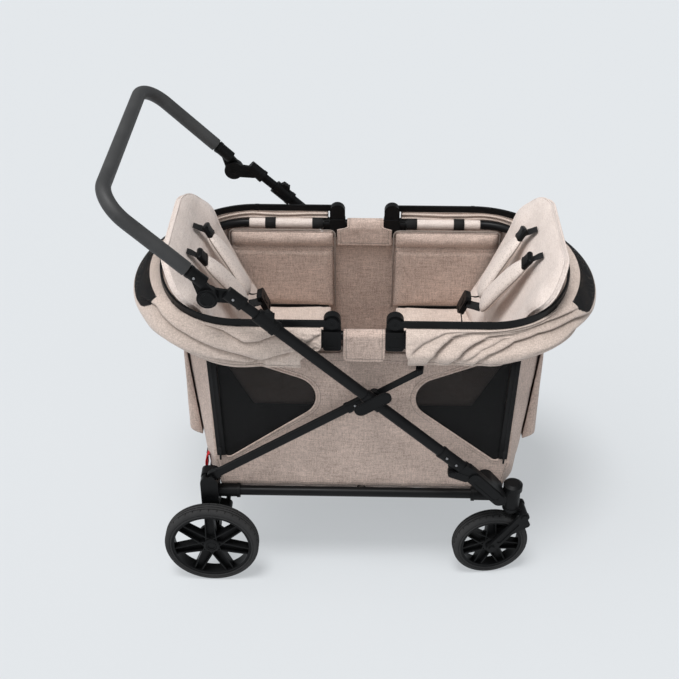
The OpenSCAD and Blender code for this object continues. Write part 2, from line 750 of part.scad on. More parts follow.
// Upper halves of the handle's tilt hubs, with the button well
module hubs_upper() {
    color("#1f2023") both() difference() {
        union() {
            run(on_handle(28), on_handle(72), push_y) circle(d = handle_d + 5);
            run(on_handle(66), on_handle(74), push_y) circle(d = handle_d + 7);
            plate(hub_mid + move_gap / 2, push_out + 4) {
                translate(tilt_p) circle(hub_r);
            }
            plate(hub_mid + move_gap / 2, push_out - 1) {
                polygon([tilt_p - hub_r * 0.9 * n_handle, on_handle(54) - 11 * n_handle,
                    on_handle(54), on_handle(29) + 6 * n_handle, tilt_p + hub_r * 0.98 * n_handle]);
            }
            pin(tilt_p, 7, push_in + 1, hub_mid + 2);
        }
        run(on_handle(34 - fixed_gap), on_handle(90), push_y) circle(d = handle_d + 2 * fixed_gap);
        pin(tilt_p, button_r + move_gap, push_out - 3, push_out + 5);
        pin(on_handle(56), 4.2, push_y + handle_d / 2 + 1, push_out + 9);
    }
}

// Push buttons of the tilt hubs
module handle_button(s) {
    color("#2d2e31") sided(s) difference() {
        union() {
            pin(tilt_p, button_r, push_out - 3 + button_travel + move_gap, push_out + 5.5);
            translate([tilt_p.x, push_out + 5.5, tilt_p.y]) rotate([-90, 0, 0])
                cylinder(r1 = button_r, r2 = button_r - 2, h = 1.5);
        }
        pin(tilt_p, button_r - 6, push_out + 6.2, push_out + 8);
    }
}
module handle_button_right() { handle_button(-1); }
module handle_button_left() { handle_button(1); }

// Oval brace tubes with a flattened eye on the rear pivot
module brace_tubes() {
    color("#26272a") both() difference() {
        union() {
            run(on_brace(8), on_brace(cross_s - 14), brace_y) oval(brace_w, brace_t);
            plate(brace_in, brace_out) translate(brace_p) circle(brace_w / 2);
            plate(brace_in, brace_out) bar2d(brace_p, on_brace(22), brace_w);
        }
        run(on_brace(24), on_brace(cross_s), brace_y) oval(brace_w - 2 * tube_wall, brace_t - 2 * tube_wall);
        pin(brace_p, pin_r + run_gap, brace_in - 1, brace_out + 1);
    }
}

// Sleeves at the upper ends of the braces
module crossing_hubs() {
    hub_t = brace_t + 3;
    color("#222326") both() difference() {
        union() {
            run(on_brace(cross_s - 70), on_brace(cross_s + 6), brace_y + 0.4) oval(brace_w + 5, hub_t);
            run(on_brace(cross_s - 74), on_brace(cross_s - 66), brace_y + 0.4) oval(brace_w + 7, hub_t);
            plate(brace_in - 1, brace_y + hub_t / 2) translate(on_brace(cross_s + 4)) circle(brace_w / 2 + 1);
        }
        run(on_brace(cross_s - 80), on_brace(cross_s - 14 + fixed_gap), brace_y)
            oval(brace_w + 2 * fixed_gap, brace_t + 2 * fixed_gap);
        plate(brace_y - 2 - fixed_gap, brace_y + 2 + fixed_gap)
            bar2d(on_brace(cross_s - 10), on_brace(cross_s + 40), 16 + 2 * fixed_gap);
        pin(on_brace(cross_s - 50), 4.2, brace_y + hub_t / 2 - 1, brace_out + 6);
    }
}

// Plain cover over each crossing, clipped round the push tube
module crossing_covers() {
    color("#2b2c2f") both() difference() {
        union() {
            plate(push_out + 0.6, push_out + 4)
                slot2d(cross_p - 33 * u_brace, cross_p + 33 * u_brace, 32);
            run(on_push(cross_push_s - 26), on_push(cross_push_s + 26), push_y + 0.4) oval(push_w + 6, push_t + 3);
        }
        run(on_push(cross_push_s - 60), on_push(cross_push_s + 60), push_y)
            oval(push_w + 2 * fixed_gap, push_t + 2 * fixed_gap);
        difference() {
            plate(push_out + 3.2, push_out + 5) slot2d(cross_p - 33 * u_brace, cross_p + 33 * u_brace, 29);
            plate(push_out + 2, push_out + 6) slot2d(cross_p - 33 * u_brace, cross_p + 33 * u_brace, 27);
        }
    }
}

// Flat links from the crossings up to the rail
module upper_links() {
    color("#2a2b2e") both() difference() {
        plate(brace_y - 2, brace_y + 2) slot2d(cross_p, link_q, 16);
        pin(link_q, 3, brace_in, brace_out);
    }
    color("#b9babc") both() {
        pin(link_q, 3 - fixed_gap, brace_y - 3, brace_y + 3);
        pin(link_q, 6, brace_y + 2.1, brace_y + 4);
        pin(link_q, 7, link_seat + move_gap, brace_y - 2 - fixed_gap);
    }
}

// Top rail loop
module rail_bar(d) {
    lx = rail_half - rail_corner;
    ly = rail_y - rail_corner;
    translate([0, 0, rail_z]) {
        both() translate([-lx, rail_y, 0]) rotate([0, 90, 0]) cylinder(d = d, h = 2 * lx);
        ends() translate([rail_half, ly, 0]) rotate([90, 0, 0]) cylinder(d = d, h = 2 * ly);
        for (k = [0:3]) mirror([k % 2, 0, 0]) mirror([0, floor(k / 2), 0]) translate([lx, ly, 0])
            rotate_extrude(angle = 90) translate([rail_corner, 0]) circle(d = d);
    }
}
module top_rail() {
    color("#26272a") {
        difference() {
            rail_bar(rail_d);
            rail_bar(rail_d - 2 * tube_wall);
        }
        both() plate(rail_y + rail_d / 2 - 1.5, link_seat) {
            slot2d([link_q.x, rail_z], link_q, 18);
        }
    }
}

// Canopy hinge brackets clamped on the rail
module canopy_brackets() {
    in = 246;
    ear_out = bow_y - bow_t / 2 - move_gap;
    color("#1e1f22") both() ends() difference() {
        union() {
            plate(in, bracket_out) {
                translate([hinge_x, rail_z - 8]) round_rect(42, 52, 7);
            }
            plate(in + 3, ear_out) {
                translate([hinge_x, hinge_z]) circle(20);
                polygon([[hinge_x - 20, rail_z + 10], [hinge_x + 20, rail_z + 10], [hinge_x + 20, hinge_z],
                    [hinge_x - 20, hinge_z]]);
            }
            plate(in + 6, bracket_out + 1.2) translate([hinge_x + 29, rail_z - 8]) round_rect(18, 36, 4);
            pin([hinge_x, hinge_z], 5, ear_out - 2, bracket_out - 0.5);
        }
        translate([hinge_x - 40, rail_y, rail_z]) rotate([0, 90, 0]) cylinder(d = rail_d + 2 * fixed_gap, h = 90);
        plate(bracket_out - 1.2, bracket_out + 1) translate([hinge_x, rail_z - 10]) round_rect(28, 30, 5);
        plate(in - 1, in + 2) translate([hinge_x, rail_z - 22]) round_rect(28, 14, 4);
    }
}

// Cloth flaps over the middle of the rail
module rail_wraps() {
    x0 = -hinge_x + 30;
    r = rail_d / 2 + 1;
    color("#bdaea2") both() translate([x0, 0, 0]) rotate([90, 0, 90]) linear_extrude(-2 * x0) difference() {
        union() {
            translate([rail_y, rail_z]) circle(r + 3);
            translate([rail_y + r, rail_z - 63]) square([3, 63]);
            translate([rail_y - r - 3, rail_z - 45]) square([3, 45]);
        }
        translate([rail_y, rail_z]) circle(r);
        translate([rail_y - r, rail_z - 70]) square([2 * r, 70]);
    }
}

// Flat canopy bow on the front end, level
module bow_front() {
    module bar() { square([bow_t, bow_h], center = true); }
    color("#232427") translate([0, 0, hinge_z]) difference() {
        union() {
            both() {
                translate([hinge_x, bow_y, 0]) rotate([90, 0, 90]) linear_extrude(bow_c1 - hinge_x) bar();
                translate([bow_c1, bow_k, 0]) rotate([0, 0, bow_turn]) rotate_extrude(angle = 90 - bow_turn)
                    translate([bow_r1, 0]) bar();
                translate([hinge_x, bow_y + bow_t / 2, 0]) rotate([90, 0, 0]) cylinder(r = 15, h = bow_t);
            }
            translate([bow_reach - bow_r2, 0, 0]) rotate([0, 0, -bow_turn]) rotate_extrude(angle = 2 * bow_turn)
                translate([bow_r2, 0]) bar();
            both() translate([bow_reach - bow_r2, 0, 0]) rotate([0, 0, bow_turn]) translate([bow_r2, 0, 0])
                cube([bow_t + 1, 14, bow_h + 1], center = true);
            both() translate([bow_c1, bow_y, 0]) cube([10, bow_t + 0.6, bow_h + 1], center = true);
        }
        both() translate([hinge_x, bow_y + bow_t, 0]) rotate([90, 0, 0]) cylinder(r = 5 + run_gap, h = 2 * bow_t);
    }
}
module canopy_bow_front() { bow_front(); }
module canopy_bow_rear() { mirror([1, 0, 0]) bow_front(); }

// Folded canopy: a soft band gathered round the outside of its bow, deepest at the end
module canopy() {
    gap = 1.5;
    out = bow_t / 2 + gap;
    arm_0 = hinge_x + 28;
    arms = [for (f = [0, 0.1, 0.2, 0.31, 0.43, 0.55, 0.69, 0.84, 1]) [arm_0 + f * (bow_c1 - arm_0), 0]];
    turns = concat([for (k = [1:6]) 90 - (90 - bow_turn) * k / 6], [for (k = [1:5]) bow_turn * (1 - k / 5)]);
    function at_turn(a, o) = a >= bow_turn
        ? [bow_c1, bow_k] + (bow_r1 + o) * [cos(a), sin(a)]
        : [bow_reach - bow_r2, 0] + (bow_r2 + o) * [cos(a), sin(a)];
    function ease(k) = k * k * (3 - 2 * k);
    half = concat([for (p = arms) [p.x, 90, 0]], [for (a = turns) [0, a, ease((90 - a) / 90)]]);
    n = len(half);
    all = concat(half, [for (k = [n - 2:-1:0]) half[k]]);
    function spot(k, o) = let (h = all[k], p = h[0] > 0 ? [h[0], bow_y + o] : at_turn(h[1], o))
        k < n ? p : [p.x, -p.y];
    // Outline of the band at one place: first number across, second number up, both set by the depth there
    function ring(k) = let (h = all[k], e = h[2], i = k < n ? k : 2 * n - 2 - k,
            lip = i < 3 ? [26, 12, 4][i] : 0, hem = hinge_z - 98 + 30 * min(1, i / 14) - 8 * ease(e),
            d = 15 + (canopy_depth - 15) * e, w = 3 * sin(i * 83) * (1 - 0.5 * e), v = 2.5 * sin(i * 131 + 40))
        [[0, hinge_z + 9 - 3 * e], [0.30 * d, hinge_z + 8 - 6 * e], [0.62 * d, hinge_z - 4 - 14 * e + w],
         [0.86 * d, hinge_z - 22 - 16 * e], [d + w * 0.3, hinge_z - 44 - 14 * e], [0.90 * d + w * 0.4, hinge_z - 58 - 6 * e],
         [0.98 * d - w * 0.3, hinge_z - 72 - 2 * e + v], [0.92 * d, hem + lip + v], [0.66 * d, hem + lip - 3 + v],
         [0.40 * d, hem + lip + 4 + v], [0.30 * d, hem + lip + 22], [0, hem + lip + 30]];
    m = 12;
    pts = [for (k = [0:len(all) - 1]) each [for (q = ring(k)) let (p = spot(k, out + q.x)) [p.x, p.y, q.y]]];
    skin = [for (k = [0:len(all) - 2], j = [0:m - 1]) let (a = k * m + j, b = k * m + (j + 1) % m)
        each [[a, b, b + m], [a, b + m, a + m]]];
    last = (len(all) - 1) * m;
    caps = [[for (j = [m - 1:-1:0]) j], [for (j = [0:m - 1]) last + j]];
    color("#c2b3a7") polyhedron(pts, concat(skin, caps));
}
module canopy_front() { canopy(); }
module canopy_rear() { mirror([1, 0, 0]) canopy(); }

// Turns a wheel made about Z, outer side up, onto its axle at a side-view point
module on_axle(p, y) {
    translate([p.x, y, p.y]) rotate([-90, 0, 0]) children();
}

// Spoked rim: each spoke is a recessed blade between two raised ribs
module rim(r, w, bore, drum) {
    ring_r = r - tyre_h;
    hub = 21;
    face = w / 2 - 3;
    difference() {
        union() {
            rotate_extrude() polygon([[ring_r - 5, -face - 1], [ring_r - fixed_gap, -face - 1],
                [ring_r - fixed_gap, face + 1], [ring_r - 7, face + 1], [ring_r - 7, face - 2.5],
                [ring_r - 5, face - 4]]);
            rotate_extrude() polygon([[0, -face], [hub, -face], [hub, face], [hub - 4, face + 2], [0, face + 2]]);
            if (drum > 0) translate([0, 0, -w / 2 - 8.5]) cylinder(r = drum, h = 9.5);
            if (drum > 0) translate([0, 0, -w / 2 + 0.5]) cylinder(r = drum - 10, h = 5);
            for (k = [0:spoke_count - 1]) rotate(k * 360 / spoke_count + 12) {
                translate([0, 0, -5]) linear_extrude(8)
                    polygon([[hub - 5, -13], [ring_r - 4, -9], [ring_r - 4, 9], [hub - 5, 13]]);
                for (y = [-1, 1]) translate([0, 0, -7.3]) linear_extrude(face + 5.6)
                    polygon([[hub - 6, y * 13.4 - 1.6], [ring_r - 4.5, y * 9.4 - 1.6],
                        [ring_r - 4.5, y * 9.4 + 1.6], [hub - 6, y * 13.4 + 1.6]]);
            }
        }
        translate([0, 0, -w]) cylinder(r = bore + run_gap, h = 2 * w);
        translate([0, 0, face + 0.8]) rotate_extrude() translate([hub - 9, 0]) square([2, 4]);
        if (drum > 0) translate([0, 0, w / 2 - 6.5]) cylinder(r = bore + 3 + move_gap, h = 10);
    }
}

// Tyre with rounded shoulders, three tread grooves and a step at each side wall
module tyre(r, w) {
    s = 9;
    in = r - tyre_h;
    module half_section() {
        translate([in, 0]) square([tyre_h - s, w / 2]);
        translate([in, 0]) square([tyre_h, w / 2 - s]);
        translate([r - s, w / 2 - s]) circle(s);
    }
    difference() {
        rotate_extrude() difference() {
            union() {
                half_section();
                mirror([0, 1]) half_section();
            }
            for (y = [-8, 0, 8]) translate([r - 3, y - 1.2]) square([5, 2.4]);
            for (y = [-1, 1]) translate([in + 5, y * w / 2]) circle(1.4);
        }
        for (k = [0:35]) rotate(k * 10) for (y = [-1, 1]) translate([r, 0, y * (w / 2 - 5)])
            rotate([0, 0, 18 * y]) cube([5, 3, 9], center = true);
    }
}

module rear_wheel(s) {
    color("#1d1e20") sided(s) on_axle([rear_x, rear_r], rear_y) rim(rear_r, rear_tyre_w, axle_r, drum_r);
}
module rear_wheel_right() { rear_wheel(-1); }
module rear_wheel_left() { rear_wheel(1); }

module rear_tyre(s) {
    color("#2c2c2d") sided(s) on_axle([rear_x, rear_r], rear_y) tyre(rear_r, rear_tyre_w);
}
module rear_tyre_right() { rear_tyre(-1); }
module rear_tyre_left() { rear_tyre(1); }

// Places a caster piece on its stem, turned to where it is parked
module on_stem(s) {
    translate([stem_x, s * stem_y, 0]) rotate([0, 0, caster_turn]) children();
}

// Swivelling stem with a lug for the fork's pivot
module caster_stem(s) {
    top = housing_z - move_gap;
    color("#1f2023") on_stem(s) difference() {
        union() {
            translate([0, 0, top - 4]) cylinder(r = stem_r, h = 66);
            translate([0, 0, top - 9.5]) cylinder(r = 15, h = 9.5);
            plate(-12, 12) bar2d([0, top - 5.5], [susp_p.x, top - 5.5], 8);
            plate(-fork_in + move_gap, fork_in - move_gap) {
                translate(susp_p) circle(11);
            }
        }
        pin(susp_p, pin_r + run_gap, -40, 40);
    }
}
module caster_stem_right() { caster_stem(-1); }
module caster_stem_left() { caster_stem(1); }

// Sprung fork: two waisted arms, a bridge ahead of the wheel, axle and pivot bolts
module caster_fork(s) {
    axle_p = [-caster_trail, front_r];
    u = (axle_p - susp_p) / norm(axle_p - susp_p);
    n = [u.y, -u.x];
    bridge = susp_p + 16 * u - 22 * n;
    color("#222326") on_stem(s) difference() {
        union() {
            both() plate(fork_in, fork_in + fork_t) {
                translate(susp_p) circle(13);
                translate(axle_p) circle(14);
                polygon([susp_p + 13 * n, axle_p + 12 * n, axle_p - 12 * n, susp_p + 60 * u - 13 * n,
                    bridge - 9 * n, susp_p - 13 * n]);
                translate(bridge) circle(9);
            }
            plate(-fork_in - 1, fork_in + 1) translate(bridge) circle(8);
        }
        pin(axle_p, pin_r + fixed_gap, -60, 60);
        pin(susp_p, pin_r + fixed_gap, -60, 60);
        both() plate(fork_in + fork_t - 2, fork_in + fork_t + 1)
            slot2d(susp_p + 30 * u, axle_p - 28 * u, 12);
    }
    color("#b9babc") on_stem(s) for (p = [axle_p, susp_p]) {
        pin(p, pin_r, -fork_in - fork_t - 1, fork_in + fork_t + 1);
        both() pin(p, 8, fork_in + fork_t + fixed_gap, fork_in + fork_t + 4);
    }
}
module caster_fork_right() { caster_fork(-1); }
module caster_fork_left() { caster_fork(1); }

module front_wheel(s) {
    color("#1d1e20") on_stem(s) sided(s) on_axle([-caster_trail, front_r], 0) rim(front_r, front_tyre_w, pin_r, 0);
}
module front_wheel_right() { front_wheel(-1); }
module front_wheel_left() { front_wheel(1); }

module front_tyre(s) {
    color("#2c2c2d") on_stem(s) sided(s) on_axle([-caster_trail, front_r], 0) tyre(front_r, front_tyre_w);
}
module front_tyre_right() { front_tyre(-1); }
module front_tyre_left() { front_tyre(1); }

base_tubes();
rear_corner_right();
rear_corner_left();
front_corner_right();
front_corner_left();
corner_covers();
cross_tubes();
floor_board();
frame_pins();
tub_side_right();
tub_side_left();
mesh_windows();
tub_ends();
side_pads();
seat_rear();
seat_front();
seat_back_rear();
seat_back_front();
harness_rear();
harness_front();
buckle_rear();
buckle_front();
buckle_button_rear();
buckle_button_front();
end_pockets();
pull_strap();
brake_bar();
push_tubes();
lower_knuckles();
height_collars();
slider_tubes();
hubs_lower();
handle_bar();
handle_grip();
hubs_upper();
handle_button_right();
handle_button_left();
brace_tubes();
crossing_hubs();
crossing_covers();
upper_links();
top_rail();
canopy_brackets();
rail_wraps();
canopy_bow_rear();
canopy_bow_front();
canopy_rear();
canopy_front();
rear_wheel_right();
rear_wheel_left();
rear_tyre_right();
rear_tyre_left();
caster_stem_right();
caster_stem_left();
caster_fork_right();
caster_fork_left();
front_wheel_right();
front_wheel_left();
front_tyre_right();
front_tyre_left();
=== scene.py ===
"""Stroller wagon: cloth, padding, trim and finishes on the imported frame.

Pieces are drawn in millimetres and scaled to metres when they are made. +X is the caster end,
+Z is up, and side -1 is the side that the camera sees.
"""
import json
import math

import bmesh
import bpy
from mathutils import Matrix, Vector, noise

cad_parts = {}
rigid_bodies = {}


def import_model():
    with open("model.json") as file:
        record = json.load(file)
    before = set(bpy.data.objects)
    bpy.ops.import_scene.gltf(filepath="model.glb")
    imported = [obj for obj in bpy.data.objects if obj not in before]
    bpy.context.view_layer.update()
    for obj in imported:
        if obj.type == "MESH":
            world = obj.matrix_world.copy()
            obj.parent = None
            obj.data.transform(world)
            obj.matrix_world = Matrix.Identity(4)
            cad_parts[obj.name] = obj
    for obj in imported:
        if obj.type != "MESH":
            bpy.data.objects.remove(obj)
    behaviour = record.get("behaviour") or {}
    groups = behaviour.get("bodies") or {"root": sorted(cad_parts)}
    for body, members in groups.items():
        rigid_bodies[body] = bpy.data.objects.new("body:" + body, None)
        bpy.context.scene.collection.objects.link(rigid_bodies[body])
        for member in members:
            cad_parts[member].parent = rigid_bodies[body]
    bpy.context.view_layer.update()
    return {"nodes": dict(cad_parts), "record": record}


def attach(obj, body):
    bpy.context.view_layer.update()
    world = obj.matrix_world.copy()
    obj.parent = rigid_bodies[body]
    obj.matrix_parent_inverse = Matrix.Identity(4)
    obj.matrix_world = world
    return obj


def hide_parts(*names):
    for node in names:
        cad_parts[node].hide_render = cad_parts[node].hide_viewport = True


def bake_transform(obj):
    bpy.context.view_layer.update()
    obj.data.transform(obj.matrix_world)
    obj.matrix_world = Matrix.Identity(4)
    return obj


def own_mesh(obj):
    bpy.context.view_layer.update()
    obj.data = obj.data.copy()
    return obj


for old in list(bpy.data.objects):
    bpy.data.objects.remove(old)
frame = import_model()
scene = bpy.context.scene
nodes = frame["nodes"]

# Sizes shared by the pieces, in millimetres

MM = 0.001
SIDES = (-1, 1)
SIDE_NAMES = ((-1, "right"), (1, "left"))
END_NAMES = ((1, "front"), (-1, "rear"))
UP = (0, 0, 1)
TUB_Y = 256
SEAM_X = 366
FLOOR_Z = 262
FLOOR_TOP = 271
WALL_TOP = 716
RAIL_Z = 728
RAIL_Y = 260
RAIL_R = 11
SEAT_Z = 496
WELL_X = 84
SEAT_END = 362
BACK_LEAN = math.radians(22.7)
BACK_FOOT = (298, 491.8)
BACK_LEN = 410
BACK_CORNER = 112
PUSH_SLOPE = math.radians(42.3)
PUSH_FOOT = (239.8, 376.7)
HANDLE_SLOPE = math.radians(43.7)
TILT = (-345.8, 860.9)
TILT_OFFSET = 21
KNUCKLE_RIVET_Y = 317.1
HUB_RIVET_Y = 316.9
HANDLE_RIVET_Y = 320.0
BRACE_SLOPE = math.radians(33.2)
CROSSING = (24.2, 572.9)
BRACE_RIVET_Y = 291.0
BOW_Y = 272
BOW_C1 = 285
BOW_R1 = 190
BOW_REACH = 498
BOW_OUT = 3.6


def smooth(t):
    """0 below 0, 1 above 1, and an even slope between."""
    t = min(1.0, max(0.0, t))
    return t * t * (3 - 2 * t)


def mix(a, b, t):
    return a + (b - a) * t


def hump(x, at, width):
    return math.exp(-(((x - at) / width) ** 2))


def wander(x, y, z, size, seed=0.0):
    """Soft unevenness from -1 to 1, with hills about size across."""
    return noise.noise(Vector((x / size + seed, y / size - seed, z / size + 2 * seed)))


def end_x(z):
    """Where the end walls stand at a height: they lean out towards the rail."""
    return mix(385, 425, (z - FLOOR_Z) / (WALL_TOP - FLOOR_Z))


def along(foot, slope, s, o=0.0):
    """A side-view point, s along a line that starts at foot and rises at slope, and o over it."""
    c, d = math.cos(slope), math.sin(slope)
    return (foot[0] + s * c - o * d, foot[1] + s * d + o * c)


def on_back(s, o=0.0):
    """A side-view point on the front seat back, s up its slope and o out of its face."""
    return along(BACK_FOOT, math.pi / 2 - BACK_LEAN, s, o)


def on_push(s):
    """A side-view point on the push tube, s down its slope from the knuckle."""
    return along(PUSH_FOOT, -PUSH_SLOPE, s)


def on_handle(s):
    """A side-view point on the handle tube, s up its slope from the tilt hub."""
    return along(TILT, -HANDLE_SLOPE, -s, TILT_OFFSET)


def spline(a, b, c, d, t):
    """A smooth step from b to c, with a before them and d after them."""
    return 0.5 * (2 * b + (c - a) * t + (2 * a - 5 * b + 4 * c - d) * t * t
                  + (3 * b - a - 3 * c + d) * t ** 3)


# Shader nodes


def put(tree, value, socket):
    if isinstance(value, bpy.types.NodeSocket):
        tree.links.new(value, socket)
    else:
        socket.default_value = value


def add(tree, kind, values=None, **settings):
    """A shader node with its settings and with values or links on its inputs."""
    made = tree.nodes.new("ShaderNode" + kind)
    for key, value in settings.items():
        setattr(made, key, value)
    for key, value in (values or {}).items():
        put(tree, value, made.inputs[key])
    return made


def math_node(tree, operation, a, b=0.0):
    return add(tree, "Math", {0: a, 1: b}, operation=operation).outputs[0]


def plus(tree, a, b):
    return math_node(tree, "ADD", a, b)


def times(tree, a, b):
    return math_node(tree, "MULTIPLY", a, b)


def ramp(tree, value, low, high, to_low=0.0, to_high=1.0):
    keys = {"Value": value, "From Min": low, "From Max": high, "To Min": to_low, "To Max": to_high}
    return add(tree, "MapRange", keys).outputs["Result"]


def stretched_noise(tree, vector, scale, detail=2.0):
    spread = add(tree, "Mapping", {"Vector": vector, "Scale": scale}).outputs["Vector"]
    return add(tree, "TexNoise", {"Vector": spread, "Scale": 1.0, "Detail": detail}).outputs["Fac"]


def new_group(name, inputs, outputs):
    group = bpy.data.node_groups.new(name, "ShaderNodeTree")
    for label, kind, value in inputs:
        socket = group.interface.new_socket(label, in_out="INPUT", socket_type="NodeSocket" + kind)
        if value is not None:
            socket.default_value = value
    for label, kind in outputs:
        group.interface.new_socket(label, in_out="OUTPUT", socket_type="NodeSocket" + kind)
    given, result = group.nodes.new("NodeGroupInput"), group.nodes.new("NodeGroupOutput")
    return group, given.outputs, result.inputs


def waves_of(tree, place, per_metre):
    """Sine of each coordinate, for threads that run along the axes."""
    turned = times(tree, per_metre, 2 * math.pi)
    split = add(tree, "SeparateXYZ", {"Vector": place}).outputs
    return [math_node(tree, "SINE", times(tree, split[k], turned)) for k in range(3)]


def facing(tree, direction):
    """How much a surface faces each axis, as three shares."""
    split = add(tree, "SeparateXYZ", {"Vector": direction}).outputs
    return [times(tree, split[k], split[k]) for k in range(3)]


def over_under(tree, place, direction, per_metre):
    """Threads that cross on whichever plane a surface faces, from -1 to 1."""
    sx, sy, sz = waves_of(tree, place, per_metre)
    fx, fy, fz = facing(tree, direction)
    total = times(tree, fz, times(tree, sx, sy))
    total = plus(tree, total, times(tree, fy, times(tree, sx, sz)))
    return plus(tree, total, times(tree, fx, times(tree, sy, sz)))


def make_weave():
    """Melange cloth: slubby yarns of uneven tone, and the height of the crossing threads."""
    inputs = [("Place", "Vector", None), ("Facing", "Vector", None), ("Threads", "Float", 450.0)]
    group, given, result = new_group("weave", inputs, [("Tone", "Float"), ("Height", "Float")])
    slubs = [
        stretched_noise(group, given["Place"], scale)
        for scale in ((40, 420, 420), (420, 44, 420), (420, 420, 60))
    ]
    streaks = plus(group, slubs[0], plus(group, slubs[1], slubs[2]))
    streaks = ramp(group, streaks, 1.15, 1.85)
    cloud = ramp(group, stretched_noise(group, given["Place"], (9, 9, 9), 3.0), 0.3, 0.7)
    flecks = ramp(group, stretched_noise(group, given["Place"], (380, 380, 380), 1.0), 0.36, 0.64)
    tone = times(group, streaks, 0.55)
    tone = plus(group, tone, times(group, cloud, 0.2))
    tone = plus(group, tone, times(group, flecks, 0.25))
    threads = over_under(group, given["Place"], given["Facing"], given["Threads"])
    put(group, tone, result["Tone"])
    height = plus(group, times(group, threads, 0.5), streaks)
    put(group, height, result["Height"])
    return group


def make_grain():
    """Moulded or coated surface: fine grain, and slow changes of gloss with a few faint rubs."""
    inputs = [("Place", "Vector", None), ("Fineness", "Float", 1400.0)]
    group, given, result = new_group("grain", inputs, [("Height", "Float"), ("Rub", "Float")])
    noise_keys = {"Vector": given["Place"], "Scale": given["Fineness"], "Detail": 1.5}
    put(group, add(group, "TexNoise", noise_keys).outputs["Fac"], result["Height"])
    slow = stretched_noise(group, given["Place"], (14, 14, 14), 3.0)
    rubs = stretched_noise(group, given["Place"], (160, 45, 160), 4.0)
    rub = plus(group, ramp(group, slow, 0.3, 0.7, 0, 0.6), ramp(group, rubs, 0.6, 0.75, 0, 0.4))
    put(group, rub, result["Rub"])
    return group


def make_net():
    """Open knitted mesh: 1 on its yarns and 0 in its holes."""
    inputs = [("Place", "Vector", None), ("Facing", "Vector", None), ("Holes", "Float", 300.0)]
    group, given, result = new_group("open_net", inputs, [("Yarn", "Float"), ("Height", "Float")])
    height = over_under(group, given["Place"], given["Facing"], given["Holes"])
    put(group, ramp(group, math_node(group, "ABSOLUTE", height), 0.5, 0.32), result["Yarn"])
    put(group, height, result["Height"])
    return group


def make_hills_and_crease_shade():
    """Soft hills all over a cloth, and painted shade: a darker tone where a piece marks the shade
    of its folds and hems.
    """
    inputs = [("Place", "Vector", None), ("Colour", "Color", (0.5, 0.5, 0.5, 1))]
    group, given, result = new_group("hills_and_crease_shade", inputs, [("Colour", "Color"), ("Height", "Float")])
    # Painted shade: the mesh stores how much fold and hem shade each corner gets, and this darker
    # colour is multiplied in
    crease_shade = add(group, "Attribute", attribute_name="crease_shade").outputs["Fac"]
    shaded = add(group, "Mix", data_type="RGBA", blend_type="MULTIPLY")
    put(group, crease_shade, shaded.inputs["Factor"])
    put(group, given["Colour"], shaded.inputs[6])
    shaded.inputs[7].default_value = (0.3, 0.27, 0.25, 1)
    put(group, shaded.outputs[2], result["Colour"])
    put(group, stretched_noise(group, given["Place"], (16, 16, 11), 3.0), result["Height"])
    return group


WEAVE = make_weave()
GRAIN = make_grain()
NET = make_net()
HILLS_AND_CREASE_SHADE = make_hills_and_crease_shade()


def start_finish(name, roughness, **sockets):
    """A material with its Principled shader, object coordinates and object-space direction."""
    finish = bpy.data.materials.new(name)
    finish.use_nodes = True
    tree = finish.node_tree
    shader = tree.nodes["Principled BSDF"]
    shader.inputs["Roughness"].default_value = roughness
    for key, value in sockets.items():
        shader.inputs[key.replace("_", " ")].default_value = value
    coords = add(tree, "TexCoord").outputs
    return finish, tree, shader, coords


def relief(tree, shader, height, distance, strength=1.0, base=None):
    keys = {"Height": height, "Distance": distance, "Strength": strength}
    if base is not None:
        keys["Normal"] = base
    put(tree, add(tree, "Bump", keys).outputs["Normal"], shader.inputs["Normal"])


def group_node(tree, group, **values):
    made = add(tree, "Group", node_tree=group)
    for key, value in values.items():
        put(tree, value, made.inputs[key])
    return made.outputs


def two_tone(tree, factor, dark, light):
    colour = add(tree, "Mix", data_type="RGBA")
    put(tree, factor, colour.inputs["Factor"])
    colour.inputs[6].default_value = (*dark, 1)
    colour.inputs[7].default_value = (*light, 1)
    return colour.outputs[2]


def woven(tree, coords, threads):
    return group_node(tree, WEAVE, Place=coords["Object"], Facing=coords["Normal"], Threads=threads)


def cells_of(tree, coords, per_metre):
    """Distance to the middle of the nearest of many small cells."""
    cells = add(tree, "TexVoronoi", {"Vector": coords["Object"], "Scale": per_metre})
    return cells.outputs["Distance"]


def cloth_finish(name, dark, light, threads=450.0, sheen=0.25):
    finish, tree, shader, coords = start_finish(name, 0.92, Sheen_Weight=sheen, Sheen_Roughness=0.5)
    weave = woven(tree, coords, threads)
    plain = two_tone(tree, weave["Tone"], dark, light)
    # Painted shade from folds and hems is multiplied into the cloth's colour
    hills_and_crease_shade = group_node(tree, HILLS_AND_CREASE_SHADE, Place=coords["Object"], Colour=plain)
    put(tree, hills_and_crease_shade["Colour"], shader.inputs["Base Color"])
    soft_hills = {"Height": hills_and_crease_shade["Height"], "Distance": 0.012, "Strength": 0.5}
    creased = add(tree, "Bump", soft_hills).outputs["Normal"]
    relief(tree, shader, weave["Height"], 0.0005, 0.6, creased)
    return finish


def hard_finish(name, colour, worn, gloss, fineness=1400.0, depth=0.00006, edge=0.0009):
    """Plastic or coated tube with soft edges; gloss is the roughness at its best and worst."""
    finish, tree, shader, coords = start_finish(name, gloss[0], Specular_IOR_Level=0.15)
    grain = group_node(tree, GRAIN, Place=coords["Object"], Fineness=fineness)
    put(tree, two_tone(tree, grain["Rub"], colour, worn), shader.inputs["Base Color"])
    put(tree, ramp(tree, grain["Rub"], 0, 1, *gloss), shader.inputs["Roughness"])
    rounded = add(tree, "Bevel", {"Radius": edge}, samples=4).outputs["Normal"]
    relief(tree, shader, grain["Height"], depth, 0.5, rounded)
    return finish


